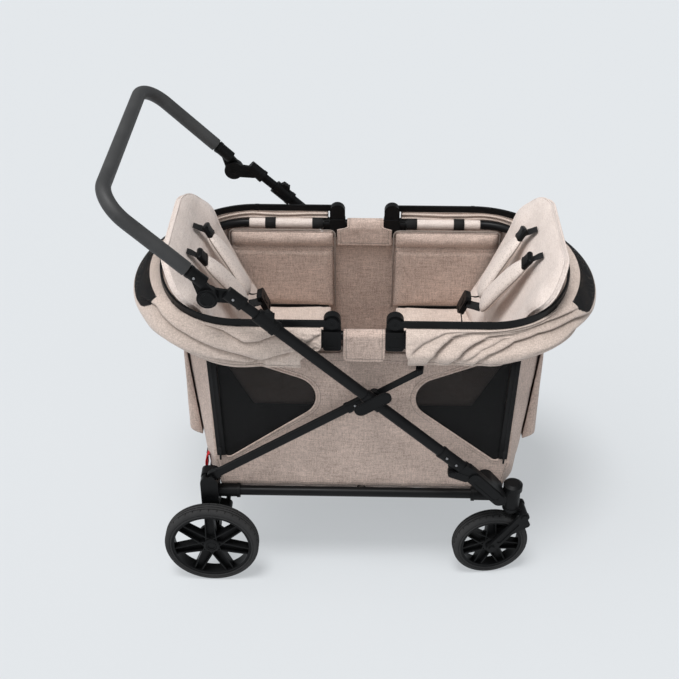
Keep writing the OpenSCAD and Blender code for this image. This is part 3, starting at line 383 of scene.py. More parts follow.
def net_finish():
    finish, tree, shader, coords = start_finish("black_net", 0.8, Specular_IOR_Level=0.2)
    net = group_node(tree, NET, Place=coords["Object"], Facing=coords["Normal"])
    cover = ramp(tree, net["Yarn"], 0, 1, 0.03, 1.0)
    tone = two_tone(tree, net["Yarn"], (0.006, 0.006, 0.0065), (0.014, 0.014, 0.0145))
    put(tree, tone, shader.inputs["Base Color"])
    put(tree, cover, shader.inputs["Alpha"])
    relief(tree, shader, net["Height"], 0.0004, 0.5)
    return finish


def webbing_finish(name, dark, light):
    finish, tree, shader, coords = start_finish(name, 0.75, Specular_IOR_Level=0.25)
    weave = woven(tree, coords, 330.0)
    put(tree, two_tone(tree, weave["Tone"], dark, light), shader.inputs["Base Color"])
    relief(tree, shader, weave["Height"], 0.0006, 0.7)
    return finish


def spacer_finish():
    """Light knitted spacer mesh with small round cells."""
    finish, tree, shader, coords = start_finish("spacer_mesh", 0.9, Sheen_Weight=0.2)
    wall = ramp(tree, cells_of(tree, coords, 230.0), 0.05, 0.45)
    tone = two_tone(tree, wall, (0.47, 0.4, 0.36), (0.74, 0.645, 0.59))
    put(tree, tone, shader.inputs["Base Color"])
    relief(tree, shader, wall, 0.0012, 0.6)
    return finish


def foam_finish():
    finish, tree, shader, coords = start_finish("foam_grip", 0.6, Specular_IOR_Level=0.4)
    cells = cells_of(tree, coords, 900.0)
    grain = group_node(tree, GRAIN, Place=coords["Object"], Fineness=700.0)
    tone = two_tone(tree, grain["Rub"], (0.036, 0.0363, 0.0368), (0.058, 0.0585, 0.059))
    put(tree, tone, shader.inputs["Base Color"])
    put(tree, ramp(tree, grain["Rub"], 0, 1, 0.5, 0.72), shader.inputs["Roughness"])
    relief(tree, shader, cells, 0.00025, 0.5)
    return finish


LINEN = cloth_finish("linen", (0.272, 0.203, 0.168), (0.765, 0.6, 0.52))
# Painted light: the next two are lighter copies of the same linen, for the parts that face the
# lamps.
LINEN_LIT = cloth_finish("linen_lit", (0.57, 0.48, 0.43), (0.845, 0.745, 0.69))
LINEN_HALF_LIT = cloth_finish("linen_half_lit", (0.41, 0.33, 0.28), (0.785, 0.655, 0.58))
# Painted shade: a darker copy of the same linen, for the shade along seams and piping.
LINEN_SEAM_SHADE = cloth_finish("linen_seam_shade", (0.17, 0.135, 0.115), (0.34, 0.285, 0.25))
LINING = cloth_finish("dark_lining", (0.006, 0.0058, 0.0058), (0.02, 0.019, 0.0185), 500.0, 0.1)
NET_BLACK = net_finish()
TUBE = hard_finish("coated_tube", (0.004, 0.0042, 0.0046), (0.009, 0.0093, 0.01),
                   (0.34, 0.48), 1800.0, 0.00004)
PLASTIC = hard_finish("moulded_plastic", (0.0034, 0.0036, 0.004), (0.0078, 0.0081, 0.0086),
                      (0.42, 0.58))
SMOOTH_PLASTIC = hard_finish("smooth_plastic", (0.0028, 0.003, 0.0034), (0.007, 0.0073, 0.0078),
                             (0.3, 0.42), 2200.0, 0.00003)
RUBBER = hard_finish("tyre_rubber", (0.024, 0.024, 0.0245), (0.05, 0.0495, 0.0495),
                     (0.75, 0.92), 900.0, 0.00012)
BOARD = hard_finish("floor_board_plastic", (0.05, 0.047, 0.045), (0.08, 0.076, 0.073), (0.6, 0.75))
FOAM = foam_finish()
SPACER = spacer_finish()
WEBBING = webbing_finish("black_webbing", (0.004, 0.004, 0.0045), (0.014, 0.014, 0.0145))
RED_WEBBING = webbing_finish("red_webbing", (0.42, 0.012, 0.016), (0.66, 0.03, 0.036))
STEEL = hard_finish("rivet_steel", (0.3, 0.3, 0.31), (0.46, 0.46, 0.47),
                    (0.28, 0.45), 2500.0, 0.00002)
STEEL.node_tree.nodes["Principled BSDF"].inputs["Metallic"].default_value = 1.0

# Making pieces

SWELL_FRAMES = 20


def grid(nu, nv, place, finish_at=None, crease_shade_at=None):
    """A sheet of nu by nv squares, each corner where place(u, v) puts it, u and v from 0 to 1."""
    bm = bmesh.new()
    bmesh.ops.create_grid(bm, x_segments=nu, y_segments=nv, size=0.5)
    # The optional function gives each corner its share of painted shade from folds and hems
    if crease_shade_at is not None:
        crease_shade = bm.verts.layers.float.new("crease_shade")
        for vert in bm.verts:
            vert[crease_shade] = crease_shade_at(vert.co.x + 0.5, vert.co.y + 0.5)
    if finish_at is not None:
        for face in bm.faces:
            middle = face.calc_center_median()
            face.material_index = finish_at(middle.x + 0.5, middle.y + 0.5)
    for vert in bm.verts:
        vert.co = place(vert.co.x + 0.5, vert.co.y + 0.5)
    return bm


def close_up(bm, gap=0.01):
    """Joins points that lie together, fills open ends and turns the faces outwards."""
    bmesh.ops.remove_doubles(bm, verts=bm.verts, dist=gap)
    bmesh.ops.holes_fill(bm, edges=bm.edges)
    bmesh.ops.recalc_face_normals(bm, faces=bm.faces)
    return bm


def ring(radius, count=10):
    turn = 2 * math.pi / count
    return [(radius * math.cos(k * turn), radius * math.sin(k * turn)) for k in range(count)]


def flat_section(width, thick, edge=0.35):
    """A strap's section with eased edges, as offsets across and out."""
    a, b, e = width / 2, thick / 2, edge * thick
    top = [(a, b - e), (a - e, b), (-a + e, b), (-a, b - e)]
    return top + [(x, -y) for x, y in reversed(top)]


def sweep(points, section, up=UP, closed=False):
    """A section carried along points; up is the way that its second number points."""
    pts = [Vector(p) for p in points]
    count, size = len(pts), len(section)
    rows = []
    for k, p in enumerate(pts):
        ahead = pts[(k + 1) % count] if closed or k + 1 < count else p
        behind = pts[k - 1] if closed or k > 0 else p
        along = (ahead - behind).normalized()
        side = along.cross(Vector(up(k) if callable(up) else up)).normalized()
        out = side.cross(along)
        rows.append([p + a * side + b * out for a, b in section])
    if closed:
        rows.append(rows[0])
    last = len(rows) - 1
    return close_up(grid(last, size, lambda u, v: rows[round(u * last)][round(v * size) % size]))


def through(points, steps=6):
    """A smooth line through points, with steps to each span."""
    pts = [Vector(p) for p in points]
    padded_ends = [2 * pts[0] - pts[1], *pts, 2 * pts[-1] - pts[-2]]
    line = []
    for k in range(len(pts) - 1):
        line += [spline(*padded_ends[k:k + 4], i / steps) for i in range(steps)]
    return line + [pts[-1]]


def block(size, bevel, segments=3):
    """A box with rounded edges round the origin."""
    bm = bmesh.new()
    bmesh.ops.create_cube(bm, size=1)
    bmesh.ops.scale(bm, vec=size, verts=bm.verts)
    bmesh.ops.bevel(bm, geom=bm.edges, offset=bevel, segments=segments, profile=0.5,
                    affect="EDGES", material=-1)
    return bm


def turned(profile, count=32):
    """A solid of revolution about Z from (radius, height) points that start and end on the axis."""
    bm = bmesh.new()
    verts = [bm.verts.new((r, 0, z)) for r, z in profile]
    edges = [bm.edges.new(pair) for pair in zip(verts, verts[1:])]
    bmesh.ops.spin(bm, geom=verts + edges, cent=(0, 0, 0), axis=UP, angle=2 * math.pi,
                   steps=count, use_merge=True)
    return close_up(bm, 0.001)


def joined(parts):
    """One bmesh from several, each alone or with a matrix that moves it."""
    bm = bmesh.new()
    for part in parts:
        if isinstance(part, tuple):
            part, matrix = part
            bmesh.ops.transform(part, matrix=matrix, verts=part.verts)
        held = bpy.data.meshes.new("held")
        part.to_mesh(held)
        part.free()
        bm.from_mesh(held)
        bpy.data.meshes.remove(held)
    return bm


def mirrored(bm, axis):
    """A copy of a bmesh on the other side of the wagon along one axis."""
    flip = [1, 1, 1]
    flip["xyz".index(axis)] = -1
    copy = bm.copy()
    bmesh.ops.scale(copy, vec=flip, verts=copy.verts)
    bmesh.ops.reverse_faces(copy, faces=copy.faces)
    return copy


def at_end(bm, end):
    """A copy of a bmesh drawn for the front, turned to the end that the sign names."""
    return bm.copy() if end > 0 else mirrored(bm, "x")


def piece(name, bm, finish, body, slot, cloth=0.0):
    """An object of a bmesh in millimetres that rides on a body; cloth is its thickness."""
    bmesh.ops.scale(bm, vec=(MM, MM, MM), verts=bm.verts)
    mesh = bpy.data.meshes.new(name)
    bm.to_mesh(mesh)
    bm.free()
    for face in mesh.polygons:
        face.use_smooth = True
    obj = bpy.data.objects.new(name, mesh)
    scene.collection.objects.link(obj)
    for one in finish if isinstance(finish, (list, tuple)) else [finish]:
        mesh.materials.append(one)
    if cloth:
        wall = obj.modifiers.new("cloth", "SOLIDIFY")
        wall.thickness = cloth * MM
        wall.offset = 0.0
    if body is not None:
        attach(obj, body)
    return obj


def soft(name, bm, finish, slot="cloth", cloth=0.0):
    """A piece of the tub, which rides on the chassis and has a mesh of its own."""
    obj = piece(name, bm, finish, "chassis", slot, cloth)
    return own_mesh(obj)


def pillow(l, w_low, w_high, t, edge, pull, corner=0.0, cuts=26):
    """A stuffed panel round the origin: length along X, width along Y, thickness along Z."""
    bm = bmesh.new()
    bmesh.ops.create_cube(bm, size=2)
    bmesh.ops.subdivide_edges(bm, edges=bm.edges, cuts=cuts, use_grid_fill=True)
    for vert in bm.verts:
        a, b, c = vert.co
        swell = (max(0.0, 1 - abs(a) ** 5) * max(0.0, 1 - abs(b) ** 5)) ** 0.5
        x = l / 2 * a * (1 - pull * (1 - b * b))
        width = mix(w_low, w_high, (a + 1) / 2)
        over = max(0.0, x - (l / 2 - corner))
        width -= 2 * (corner - math.sqrt(max(0.0, corner * corner - over * over)))
        round_side = 1 - 0.02 * c * c
        y = width / 2 * b * (1 - pull * (1 - a * a)) * round_side
        vert.co = (x * round_side, y, c * (edge + (t - edge) * swell) / 2)
    return bm


def as_shown(obj):
    """A mesh of the object with its modifiers applied."""
    shown = obj.evaluated_get(bpy.context.evaluated_depsgraph_get())
    return bpy.data.meshes.new_from_object(shown)


def swell_by_cloth(bm, cap, voxel=6.0, pressure=4.0):
    """Blows up a stuffed shape like sewn cloth, no point by more than cap; its outline stays."""
    bmesh.ops.scale(bm, vec=(MM, MM, MM), verts=bm.verts)
    mesh = bpy.data.meshes.new("swell")
    bm.to_mesh(mesh)
    obj = bpy.data.objects.new("swell", mesh)
    scene.collection.objects.link(obj)
    even = obj.modifiers.new("even", "REMESH")
    even.mode = "VOXEL"
    even.voxel_size = voxel * MM
    obj.data = as_shown(obj)
    obj.modifiers.clear()
    start = [v.co.copy() for v in obj.data.vertices]
    cloth = obj.modifiers.new("cloth", "CLOTH")
    cloth.settings.use_pressure = True
    cloth.settings.uniform_pressure_force = pressure
    cloth.settings.effector_weights.gravity = 0.0
    cloth.point_cache.frame_start = 1
    cloth.point_cache.frame_end = SWELL_FRAMES
    for step in range(1, SWELL_FRAMES + 1):
        scene.frame_set(step)
    blown = as_shown(obj)
    scene.frame_set(1)
    bm.clear()
    bm.from_mesh(blown)
    for vert, before in zip(bm.verts, start):
        move = vert.co - before
        if move.length > cap * MM:
            vert.co = before + move * (cap * MM / move.length)
    bpy.data.objects.remove(obj)
    for axis in (0, 1):
        now, before = [v.co[axis] for v in bm.verts], [p[axis] for p in start]
        stretch = (max(before) - min(before)) / (max(now) - min(now))
        for vert in bm.verts:
            vert.co[axis] = min(before) + (vert.co[axis] - min(now)) * stretch
    bmesh.ops.scale(bm, vec=(1 / MM,) * 3, verts=bm.verts)
    bmesh.ops.recalc_face_normals(bm, faces=bm.faces)
    return bm


# Tub side walls with their net windows

WINDOW_TIP = {-1: 171, 1: 186}

# The walls' top edge dips under each canopy bracket
NOTCH_X, NOTCH_HALF, NOTCH_DEEP = 81, 38, 41


def window_outline(end, grow=0.0, steps=14):
    """The rounded triangle of a side window as (x, z) points: three arcs and straight edges."""
    arcs = [(334, 652, 18), (330, 367, 13), (WINDOW_TIP[end], 546, 60)]
    points = []
    for k in range(3):
        behind, here, ahead = arcs[k - 1], arcs[k], arcs[(k + 1) % 3]
        first, last = tangent_turn(behind, here), tangent_turn(here, ahead)
        while last > first:
            last -= 2 * math.pi
        for i in range(steps + 1):
            a = mix(first, last, i / steps)
            r = here[2] + grow
            points.append((here[0] + r * math.cos(a), here[1] + r * math.sin(a)))
    return [(end * x, z) for x, z in points]


def tangent_turn(p, q):
    """Direction from the centres of two circles to their outer tangent, going clockwise."""
    dx, dz = q[0] - p[0], q[1] - p[1]
    return math.atan2(dz, dx) + math.acos((p[2] - q[2]) / math.hypot(dx, dz))


def cut_out(bm, outline):
    """Splits a wall along a convex (x, z) outline and gives back the faces inside it."""
    centre = Vector((sum(p[0] for p in outline), 0, sum(p[1] for p in outline))) / len(outline)
    low, high = min(p[0] for p in outline) - 20, max(p[0] for p in outline) + 20
    inside = [f for f in bm.faces if low < f.calc_center_median().x < high]
    for k, here in enumerate(outline):
        ahead = outline[(k + 1) % len(outline)]
        edge = Vector((ahead[0] - here[0], 0, ahead[1] - here[1]))
        if edge.length < 0.01:
            continue
        spot = Vector((here[0], 0, here[1]))
        out = edge.cross(Vector((0, 1, 0))).normalized()
        if out.dot(centre - spot) > 0:
            out.negate()
        geom = {g for f in inside for g in (f, *f.edges, *f.verts)}
        made = bmesh.ops.bisect_plane(bm, geom=list(geom), dist=0.001, plane_co=spot, plane_no=out)
        faces = {g for g in made["geom"] if isinstance(g, bmesh.types.BMFace)}
        faces |= {f for f in inside if f.is_valid}
        inside = [f for f in faces if out.dot(flat_centre(f) - spot) < 0]
    return inside


def flat_centre(face):
    centre = face.calc_center_median()
    return Vector((centre.x, 0, centre.z))


def seam_at(z):
    """Half length of the side walls: they draw in at the bottom, over the corner castings."""
    return SEAM_X - 11 * smooth((336 - z) / 26)


def wall_y(side, x, z):
    """Outer surface of a side wall: a slight belly with drawn seams and soft ripples."""
    v = (z - FLOOR_Z) / (WALL_TOP - FLOOR_Z)
    across = max(0.0, 1 - (x / SEAM_X) ** 2)
    belly = 3.2 * math.sin(math.pi * min(1.0, max(0.0, v))) * across
    ripple = 0.9 * wander(x, 0, z * 0.6, 85, 3.1 * side) + 0.5 * wander(x, 0, z, 33, 1.7 * side)
    pucker = 1.1 * hump(z, FLOOR_Z, 30) * math.sin(x / 13.0 + 2 * wander(x, 0, 0, 60))
    tuck = 0.5 * max(0.0, FLOOR_Z + 4 - z)
    return side * (TUB_Y - 1.6 + belly + ripple * across + pucker * across - tuck)


def side_wall(side, name):
    def place(u, v):
        z = mix(FLOOR_Z - 12, WALL_TOP, v)
        x = mix(-seam_at(z), seam_at(z), u)
        dip = NOTCH_DEEP * smooth((NOTCH_HALF - abs(abs(x) - NOTCH_X)) / 7)
        z -= dip * smooth((z - 560) / 156)
        return Vector((x, wall_y(side, x, z), z))

    bm = grid(150, 92, place)
    panes = []
    for end in SIDES:
        panes += cut_out(bm, window_outline(end))
    bm.faces.index_update()
    chosen = {f.index for f in panes}
    net = bm.copy()
    net.faces.index_update()
    bmesh.ops.delete(net, geom=[f for f in net.faces if f.index not in chosen], context="FACES")
    bmesh.ops.delete(bm, geom=panes, context="FACES")
    for vert in net.verts:
        vert.co.y -= side * 1.4
    node = "tub_side_left" if side > 0 else "tub_side_right"
    wall = soft(f"side_wall_{name}", bm, LINEN, "cloth", 2.4)
    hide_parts(node)
    panels = soft(f"window_net_{name}", net, NET_BLACK, "mesh", 0.7)
    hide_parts("mesh_windows")


def wall_line(side, outline, out=1.2):
    return [(x, wall_y(side, x, z) + side * out, z) for x, z in outline]


def zip_x(z):
    """Middle of a corner zip, which leans in towards its foot."""
    return mix(348.5, 358, (z - 360) / 308)


def side_lining(side, name):
    """Dark lining behind the lower half of the windows, beside each seat."""
    panels = []
    for end in SIDES:
        def place(u, v):
            x = end * mix(96, 343, u)
            z = mix(300, 520 + 1.9 * max(0.0, min(330, abs(x)) - 262), v)
            return Vector((x, wall_y(side, x, z) - side * 3.4, z))
        panels.append(grid(30, 24, place))
    lining = soft(f"seat_lining_{name}", joined(panels), LINING, "mesh", 0.7)


MIDDLE_SEAM_Z = 655


def side_trim(side, name):
    """Window bindings, a seam round each, the zips at the corners and the hem along the floor."""
    bindings, seams, zips = [], [], []
    across = (0, side, 0)
    for end in SIDES:
        edge = wall_line(side, window_outline(end, 2.0))
        bindings.append(sweep(edge, flat_section(6.0, 2.6), across, True))
        band = [p for p in window_outline(end, 11.0, 30) if abs(p[0]) < zip_x(p[1]) - 10]
        turn = next(k for k in range(len(band)) if abs(band[k][0] + band[k - 1][0]) > 600 and
                    math.dist(band[k], band[k - 1]) > 150)
        stitch = wall_line(side, band[turn:] + band[:turn], 0.8)
        seams.append(sweep(stitch, flat_section(1.6, 1.6), across))
        tape = [(end * zip_x(z), side * (TUB_Y + 3.4), z) for z in (668, 591, 514, 437, 360)]
        zips.append(sweep(tape, flat_section(21, 1.8), across))
        teeth = [(x + end * 1.5, y + side * 1.2, z) for x, y, z in tape]
        zips.append(sweep(teeth, flat_section(5.0, 2.4), across))
        for shape, x, out, z in ((block((9, 3.2, 17), 1.2), 351, 5.6, 378),
                                 (block((5, 2.0, 26), 0.9), 350.5, 7.6, 361)):
            zips.append((shape, Matrix.Translation((end * x, side * (TUB_Y + out), z))))
        corner = [(end * x, z) for x, z in ((347, 268), (352, 300), (361, 345))]
        corner = wall_line(side, corner, 1.0)
        seams.append(sweep(through(corner), ring(0.9, 6), across))
    hem = [(x, wall_y(side, x, FLOOR_Z + 9) + side, FLOOR_Z + 9) for x in range(-340, 341, 20)]
    seams.append(sweep(hem, ring(0.9, 6), across))
    middle = [(x, wall_y(side, x, MIDDLE_SEAM_Z) + side * 0.8, MIDDLE_SEAM_Z - 0.0004 * x * x)
              for x in range(-120, 121, 12)]
    seams.append(sweep(middle, ring(0.7, 6), across))
    soft(f"window_binding_{name}", joined(bindings), LINEN)
    # Painted shade: the seams use the darker copy of the linen.
    soft(f"wall_seams_{name}", joined(seams), LINEN_SEAM_SHADE)
    soft(f"corner_zips_{name}", joined(zips), WEBBING, "mesh")


for side, name in SIDE_NAMES:
    side_wall(side, name)
    side_trim(side, name)
    side_lining(side, name)

# End walls and their storage bags


def end_wall(end, name):
    def place(u, v):
        z = mix(FLOOR_Z + 4, WALL_TOP, v)
        b = 2 * u - 1
        reach = end_x(z) + 3
        y = TUB_Y * b
        turn = smooth((abs(y) - 150) / (TUB_Y - 150))
        x = mix(reach, seam_at(z), turn * turn) + 3 * math.sin(math.pi * v) * (1 - turn)
        x += 1.6 * wander(0, y, z, 70, end) * (1 - abs(b) ** 6)
        y = max(-TUB_Y + 1.5, min(TUB_Y - 1.5, y))
        return Vector((end * x, y, z))

    wall = soft(f"end_wall_{name}", grid(110, 70, place), LINEN, "cloth", 2.4)
    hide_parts("tub_ends")


def bag_depth(b, h):
    """How far a storage bag stands off its wall across and up, with gusset folds at its sides."""
    sides = max(0.0, 1 - abs(b) ** 40) ** 0.5
    base = max(0.0, 1 - (1 - min(1.0, h / 0.05)) ** 2) ** 0.5
    return 33 * sides * (1 - 0.8 * h) * base


def storage_bag(end, name):
    low, high, half = 377, 652, 196

    def place(u, v):
        b, z = 2 * u - 1, mix(low, high, v)
        y = half * b
        d = bag_depth(b, v)
        d -= 5 * hump(abs(b), 0.93, 0.02) * smooth(v * 6)
        d += (2.4 * wander(0, y, z, 48, 2.3 * end) * (1 - b ** 4)
              + 1.4 * math.sin(y / 21) * hump(v, 1.0, 0.16))
        d -= 3.0 * hump(v, 0.93, 0.025) * (1 - b ** 8)
        sag = 6 * (1 - b * b) * hump(v, 1.0, 0.3)
        return Vector((end * (end_x(z) + 6 + max(0.0, d)), y, z - sag))

    bag = soft(f"storage_bag_{name}", grid(140, 90, place), LINEN, "cloth", 2.6)
    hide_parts("end_pockets")
    rim = [place(i / 60, 1.0) for i in range(61)]
    welt = [place(i / 60, 0.93) for i in range(2, 59)]
    trim = [sweep(rim, ring(2.6, 8), UP), sweep(welt, ring(0.9, 6), UP)]
    soft(f"bag_binding_{name}", joined(trim), LINEN)


for end, name in reversed(END_NAMES):
    end_wall(end, name)
    storage_bag(end, name)

# Seats: cushion, skirt down to the floor and the mat in the foot well


def seat_cushion():
    l, w = SEAT_END - WELL_X, 470
    bm = swell_by_cloth(pillow(l - 8, w, w, 44, 26, 0.012, 0.0, 30), 7, 6.0)
    for vert in bm.verts:
        x, y = vert.co.x, vert.co.y
        vert.co.z += 1.3 * wander(x, y, 0, 70, 5) - 1.6 * hump(y, 0, 90) * hump(x, 0, 80)
        vert.co.z -= 1.5 * hump(x, -l / 2 + 26, 5) * (1 if vert.co.z > 0 else 0)
    bmesh.ops.translate(bm, vec=(WELL_X + l / 2, 0, SEAT_Z - 27), verts=bm.verts)
    return bm


def seat_skirt():
    """The cloth that closes the seat in front and at its sides, as one bent sheet."""
    half, corner = 226, 22

    def place(u, v):
        z = mix(FLOOR_TOP + 2, SEAT_Z - 44, v)
        run = (SEAT_END - WELL_X - 16) + half
        s = (2 * u - 1) * run
        if abs(s) < half - corner:
            x, y = WELL_X + 8, s
        elif abs(s) < half + corner * 0.57:
            a = (abs(s) - half + corner) / (corner * 1.57) * math.pi / 2
            x = WELL_X + 8 + corner * (1 - math.cos(a))
            y = math.copysign(half - corner + corner * math.sin(a), s)
        else:
            x, y = WELL_X + 8 + corner + abs(s) - half - corner * 0.57, math.copysign(half, s)
        return Vector((x - 1.5 * math.sin(math.pi * v) + 0.8 * wander(x, y, z, 60), y, z))

    return grid(120, 26, place)


cushion, skirt = seat_cushion(), seat_skirt()
for end, name in END_NAMES:
    # Painted light: the cushion and its piping use lighter copies of the linen because they face
    # the lamps.
    pad = soft(f"seat_cushion_{name}", at_end(cushion, end), LINEN_HALF_LIT, "padding")
    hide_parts(f"seat_{name}")
    cover = soft(f"seat_skirt_{name}", at_end(skirt, end), LINEN, "padding", 2.0)
    cord = [(end * (WELL_X + 7 + 5 * (y / 228) ** 4), y, SEAT_Z - 44) for y in range(-222, 223, 12)]
    soft(f"seat_piping_{name}", sweep(cord, ring(2.2, 8), UP), LINEN_LIT, "padding")
    lines = [[(end * x, side * 236.5, SEAT_Z - 13) for x in range(96, 352, 16)] for side in SIDES]
    edges = joined([sweep(line, ring(2.0, 8), UP) for line in lines])
    soft(f"seat_edge_{name}", edges, LINING, "mesh")
cushion.free()
skirt.free()


def foot_mat():
    def place(u, v):
        x, y = mix(-WELL_X - 4, WELL_X + 4, u), mix(-246, 246, v)
        return Vector((x, y, FLOOR_TOP + 2.2 + 0.6 * wander(x, y, 0, 60)))

    return grid(24, 60, place)


mat = soft("foot_mat", foot_mat(), LINEN, "cloth", 2.0)

# Seat backs with their piping


def back_matrix(s, o):
    """Turns a panel drawn flat, length along X, onto the front seat back."""
    x, z = on_back(s, o)
    up = Vector((math.sin(BACK_LEAN), 0, math.cos(BACK_LEAN)))
    out = Vector((-math.cos(BACK_LEAN), 0, math.sin(BACK_LEAN)))
    turn = Matrix((up, out.cross(up), out)).transposed().to_4x4()
    return Matrix.Translation((x, 0, z)) @ turn


def back_half(s):
    """Half width of the seat back at a distance up its slope."""
    width = mix(226, 205, smooth(s / 150)) + 30 * smooth((s - 262) / 75)
    over = max(0.0, s - (BACK_LEN - BACK_CORNER))
    return width - BACK_CORNER + math.sqrt(max(0.0, BACK_CORNER ** 2 - over ** 2))


def back_bend(s, y):
    """How far the seat back's sides curve forwards, out of the way of the rail."""
    sides = 17 * smooth((abs(y) - 120) / 90) * (1 - 0.6 * smooth((s - 300) / 60))
    return sides - 16 * smooth((s - 280) / 150)


def back_outline():
    """Edge of the seat back as (distance up, across), from foot to foot round its top."""
    rise = [mix(4, BACK_LEN - BACK_CORNER, i / 24) for i in range(25)]
    rise += [BACK_LEN - BACK_CORNER * (1 - math.sin(math.pi / 2 * i / 16)) for i in range(1, 17)]
    side = [(s, back_half(s)) for s in rise]
    top = side[-1][1]
    across = [(BACK_LEN, top * k / 4) for k in range(3, -4, -1)]
    return side + across + [(s, -y) for s, y in reversed(side)]


def seat_back():
    bm = bmesh.new()
    bmesh.ops.create_cube(bm, size=2)
    bmesh.ops.subdivide_edges(bm, edges=bm.edges, cuts=36, use_grid_fill=True)
    for vert in bm.verts:
        a, b, c = vert.co
        rise = BACK_LEN * (a + 1) / 2
        swell = (max(0.0, 1 - abs(a) ** 5) * max(0.0, 1 - abs(b) ** 5)) ** 0.5
        y = back_half(min(rise, BACK_LEN - 0.5)) * b
        vert.co = (rise - BACK_LEN / 2, y, c * (7 + 4.5 * swell))
    bm = swell_by_cloth(bm, 5, 6.0)
    for vert in bm.verts:
        x, y, z = vert.co
        uneven = 1.5 * wander(x, y, 0, 80, 9) + 0.8 * wander(x * 2, y * 0.5, 0, 40, 4)
        vert.co.z += back_bend(x + BACK_LEN / 2, y) + uneven
        vert.co.z -= 1.8 * hump(x, -BACK_LEN * 0.31, 5) * (1 if z > 0 else -1)
    bmesh.ops.transform(bm, matrix=back_matrix(BACK_LEN / 2, 1.5), verts=bm.verts)
    return bm


def back_piping():
    """Piping along the front and rear edges of the seat back's side."""
    lay = back_matrix(BACK_LEN / 2, 1.5)
    rows = []
    for o in (-6, 6):
        line = [lay @ Vector((rise - BACK_LEN / 2 - 1, y * 0.993, o + back_bend(rise, y)))
                for rise, y in back_outline()]
        rows.append(sweep(line, ring(2.2, 8), (1, 0, 0.4)))
    return joined(rows)


back, rim = seat_back(), back_piping()
for end, name in END_NAMES:
    # Painted light: the seat back and its piping use the lightest copy of the linen.
    pad = soft(f"seat_back_pad_{name}", at_end(back, end), LINEN_LIT, "padding")
    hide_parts(f"seat_back_{name}")
    soft(f"seat_back_piping_{name}", at_end(rim, end), LINEN_LIT, "padding")
back.free()
rim.free()

# Padded panels inside the side walls: a roll along the top over a tall field

PAD_LOW, PAD_HIGH = 476, 719
PAD_MIDDLE, PAD_WIDE = 218.5, 281


def side_pad():
    l = PAD_HIGH - PAD_LOW
    bm = swell_by_cloth(pillow(l - 4, PAD_WIDE - 4, PAD_WIDE - 4, 12, 7, 0.008, 0.0, 26), 4, 5.0)
    seam = l / 2 - 47
    for vert in bm.verts:
        x, y, z = vert.co
        uneven = 1.4 * wander(0, y, 0, 26, 6) + 0.7 * wander(x, y, 0, 60, 2)
        vert.co.z += uneven * smooth((seam - x) / 40)
        vert.co.z *= 1 - 0.62 * hump(x, seam, 4.5) - 0.5 * hump(x, seam - 13, 3.5)
        if z > 0 and x > seam:
            roll = max(0.0, math.sin(math.pi * min(1.0, (x - seam) / (l / 2 - seam))))
            vert.co.z += 6 * roll * max(0.0, 1 - abs(2 * y / PAD_WIDE) ** 8)
        vert.co.z = max(vert.co.z, -6.0)
    turn = Matrix(((0, 1, 0), (0, 0, -1), (1, 0, 0))).to_4x4()
    place = Matrix.Translation((PAD_MIDDLE, TUB_Y - 16.2, (PAD_LOW + PAD_HIGH) / 2))
    bmesh.ops.transform(bm, matrix=place @ turn, verts=bm.verts)
    return bm


def pad_piping():
    """Piping round the pad and along the seam under its roll."""
    y, r = TUB_Y - 20.2, 14
    x0, x1 = PAD_MIDDLE - PAD_WIDE / 2, PAD_MIDDLE + PAD_WIDE / 2
    top = PAD_HIGH + 1
    turns = [math.pi / 2 + k * math.pi / 12 for k in range(6, -1, -1)]
    left = [(x0, y, PAD_LOW + 4)]
    left += [(x0 + r + r * math.cos(a), y, top - r + r * math.sin(a)) for a in turns]
    round_it = left + [(x1 + x0 - x, y, z) for x, y, z in reversed(left)]
    rows = [sweep(round_it, ring(1.9, 8), (0, -1, 0))]
    for drop in (49, 62):
        seam = [(x, y + 1.0, PAD_HIGH - drop) for x in range(int(x0) + 4, int(x1) - 3, 12)]
        rows.append(sweep(seam, ring(1.0, 6), (0, -1, 0)))
    return joined(rows)


pad_shape, pad_edge = side_pad(), pad_piping()
for end, end_name in END_NAMES:
    for side, name in reversed(SIDE_NAMES):
        shapes = [pad_shape.copy(), pad_edge.copy()]
        for axis, sign in (("x", end), ("y", side)):
            shapes = [s if sign > 0 else mirrored(s, axis) for s in shapes]
        pad = soft(f"side_pad_{end_name}_{name}", shapes[0], LINEN, "padding")
        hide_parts("side_pads")
        # Painted shade: the piping and the seam lines under the roll use the darker copy of the
        # linen.
        soft(f"side_pad_piping_{end_name}_{name}", shapes[1], LINEN_SEAM_SHADE, "padding")
pad_shape.free()
pad_edge.free()

# Harnesses: shoulder pads, webbing and adjusters

STRAP_Y = 62
PAD_TOP = Vector((388, 62, 806))
PAD_FOOT = Vector((292, 25, 654))


def pad_frame(side):
    """Matrix that lays a panel drawn flat, length along X, on the line of a shoulder pad."""
    flip = Vector((1, side, 1))
    top, foot = PAD_TOP * flip, PAD_FOOT * flip
    up = (top - foot).normalized()
    out = Vector((-math.cos(BACK_LEAN), 0, math.sin(BACK_LEAN)))
    across = out.cross(up).normalized()
    turn = Matrix((up, across, up.cross(across))).transposed().to_4x4()
    return Matrix.Translation((top + foot) / 2) @ turn


def shoulder_pads():
    l = (PAD_TOP - PAD_FOOT).length
    parts = []
    for side in SIDES:
        bm = bmesh.new()
        bmesh.ops.create_uvsphere(bm, u_segments=72, v_segments=36, radius=1.0)
        for vert in bm.verts:
            a, b, c = vert.co
            x = math.copysign(abs(a) ** 0.5, a) * l / 2
            y = math.copysign(abs(b) ** 0.72, b) * mix(33, 28, x / l + 0.5)
            z = math.copysign(abs(c) ** 0.8, c) * 14 + 5 * (1 - (2 * x / l) ** 2)
            vert.co = (x, y, z)
        parts.append((bm, pad_frame(side)))
    return joined(parts)


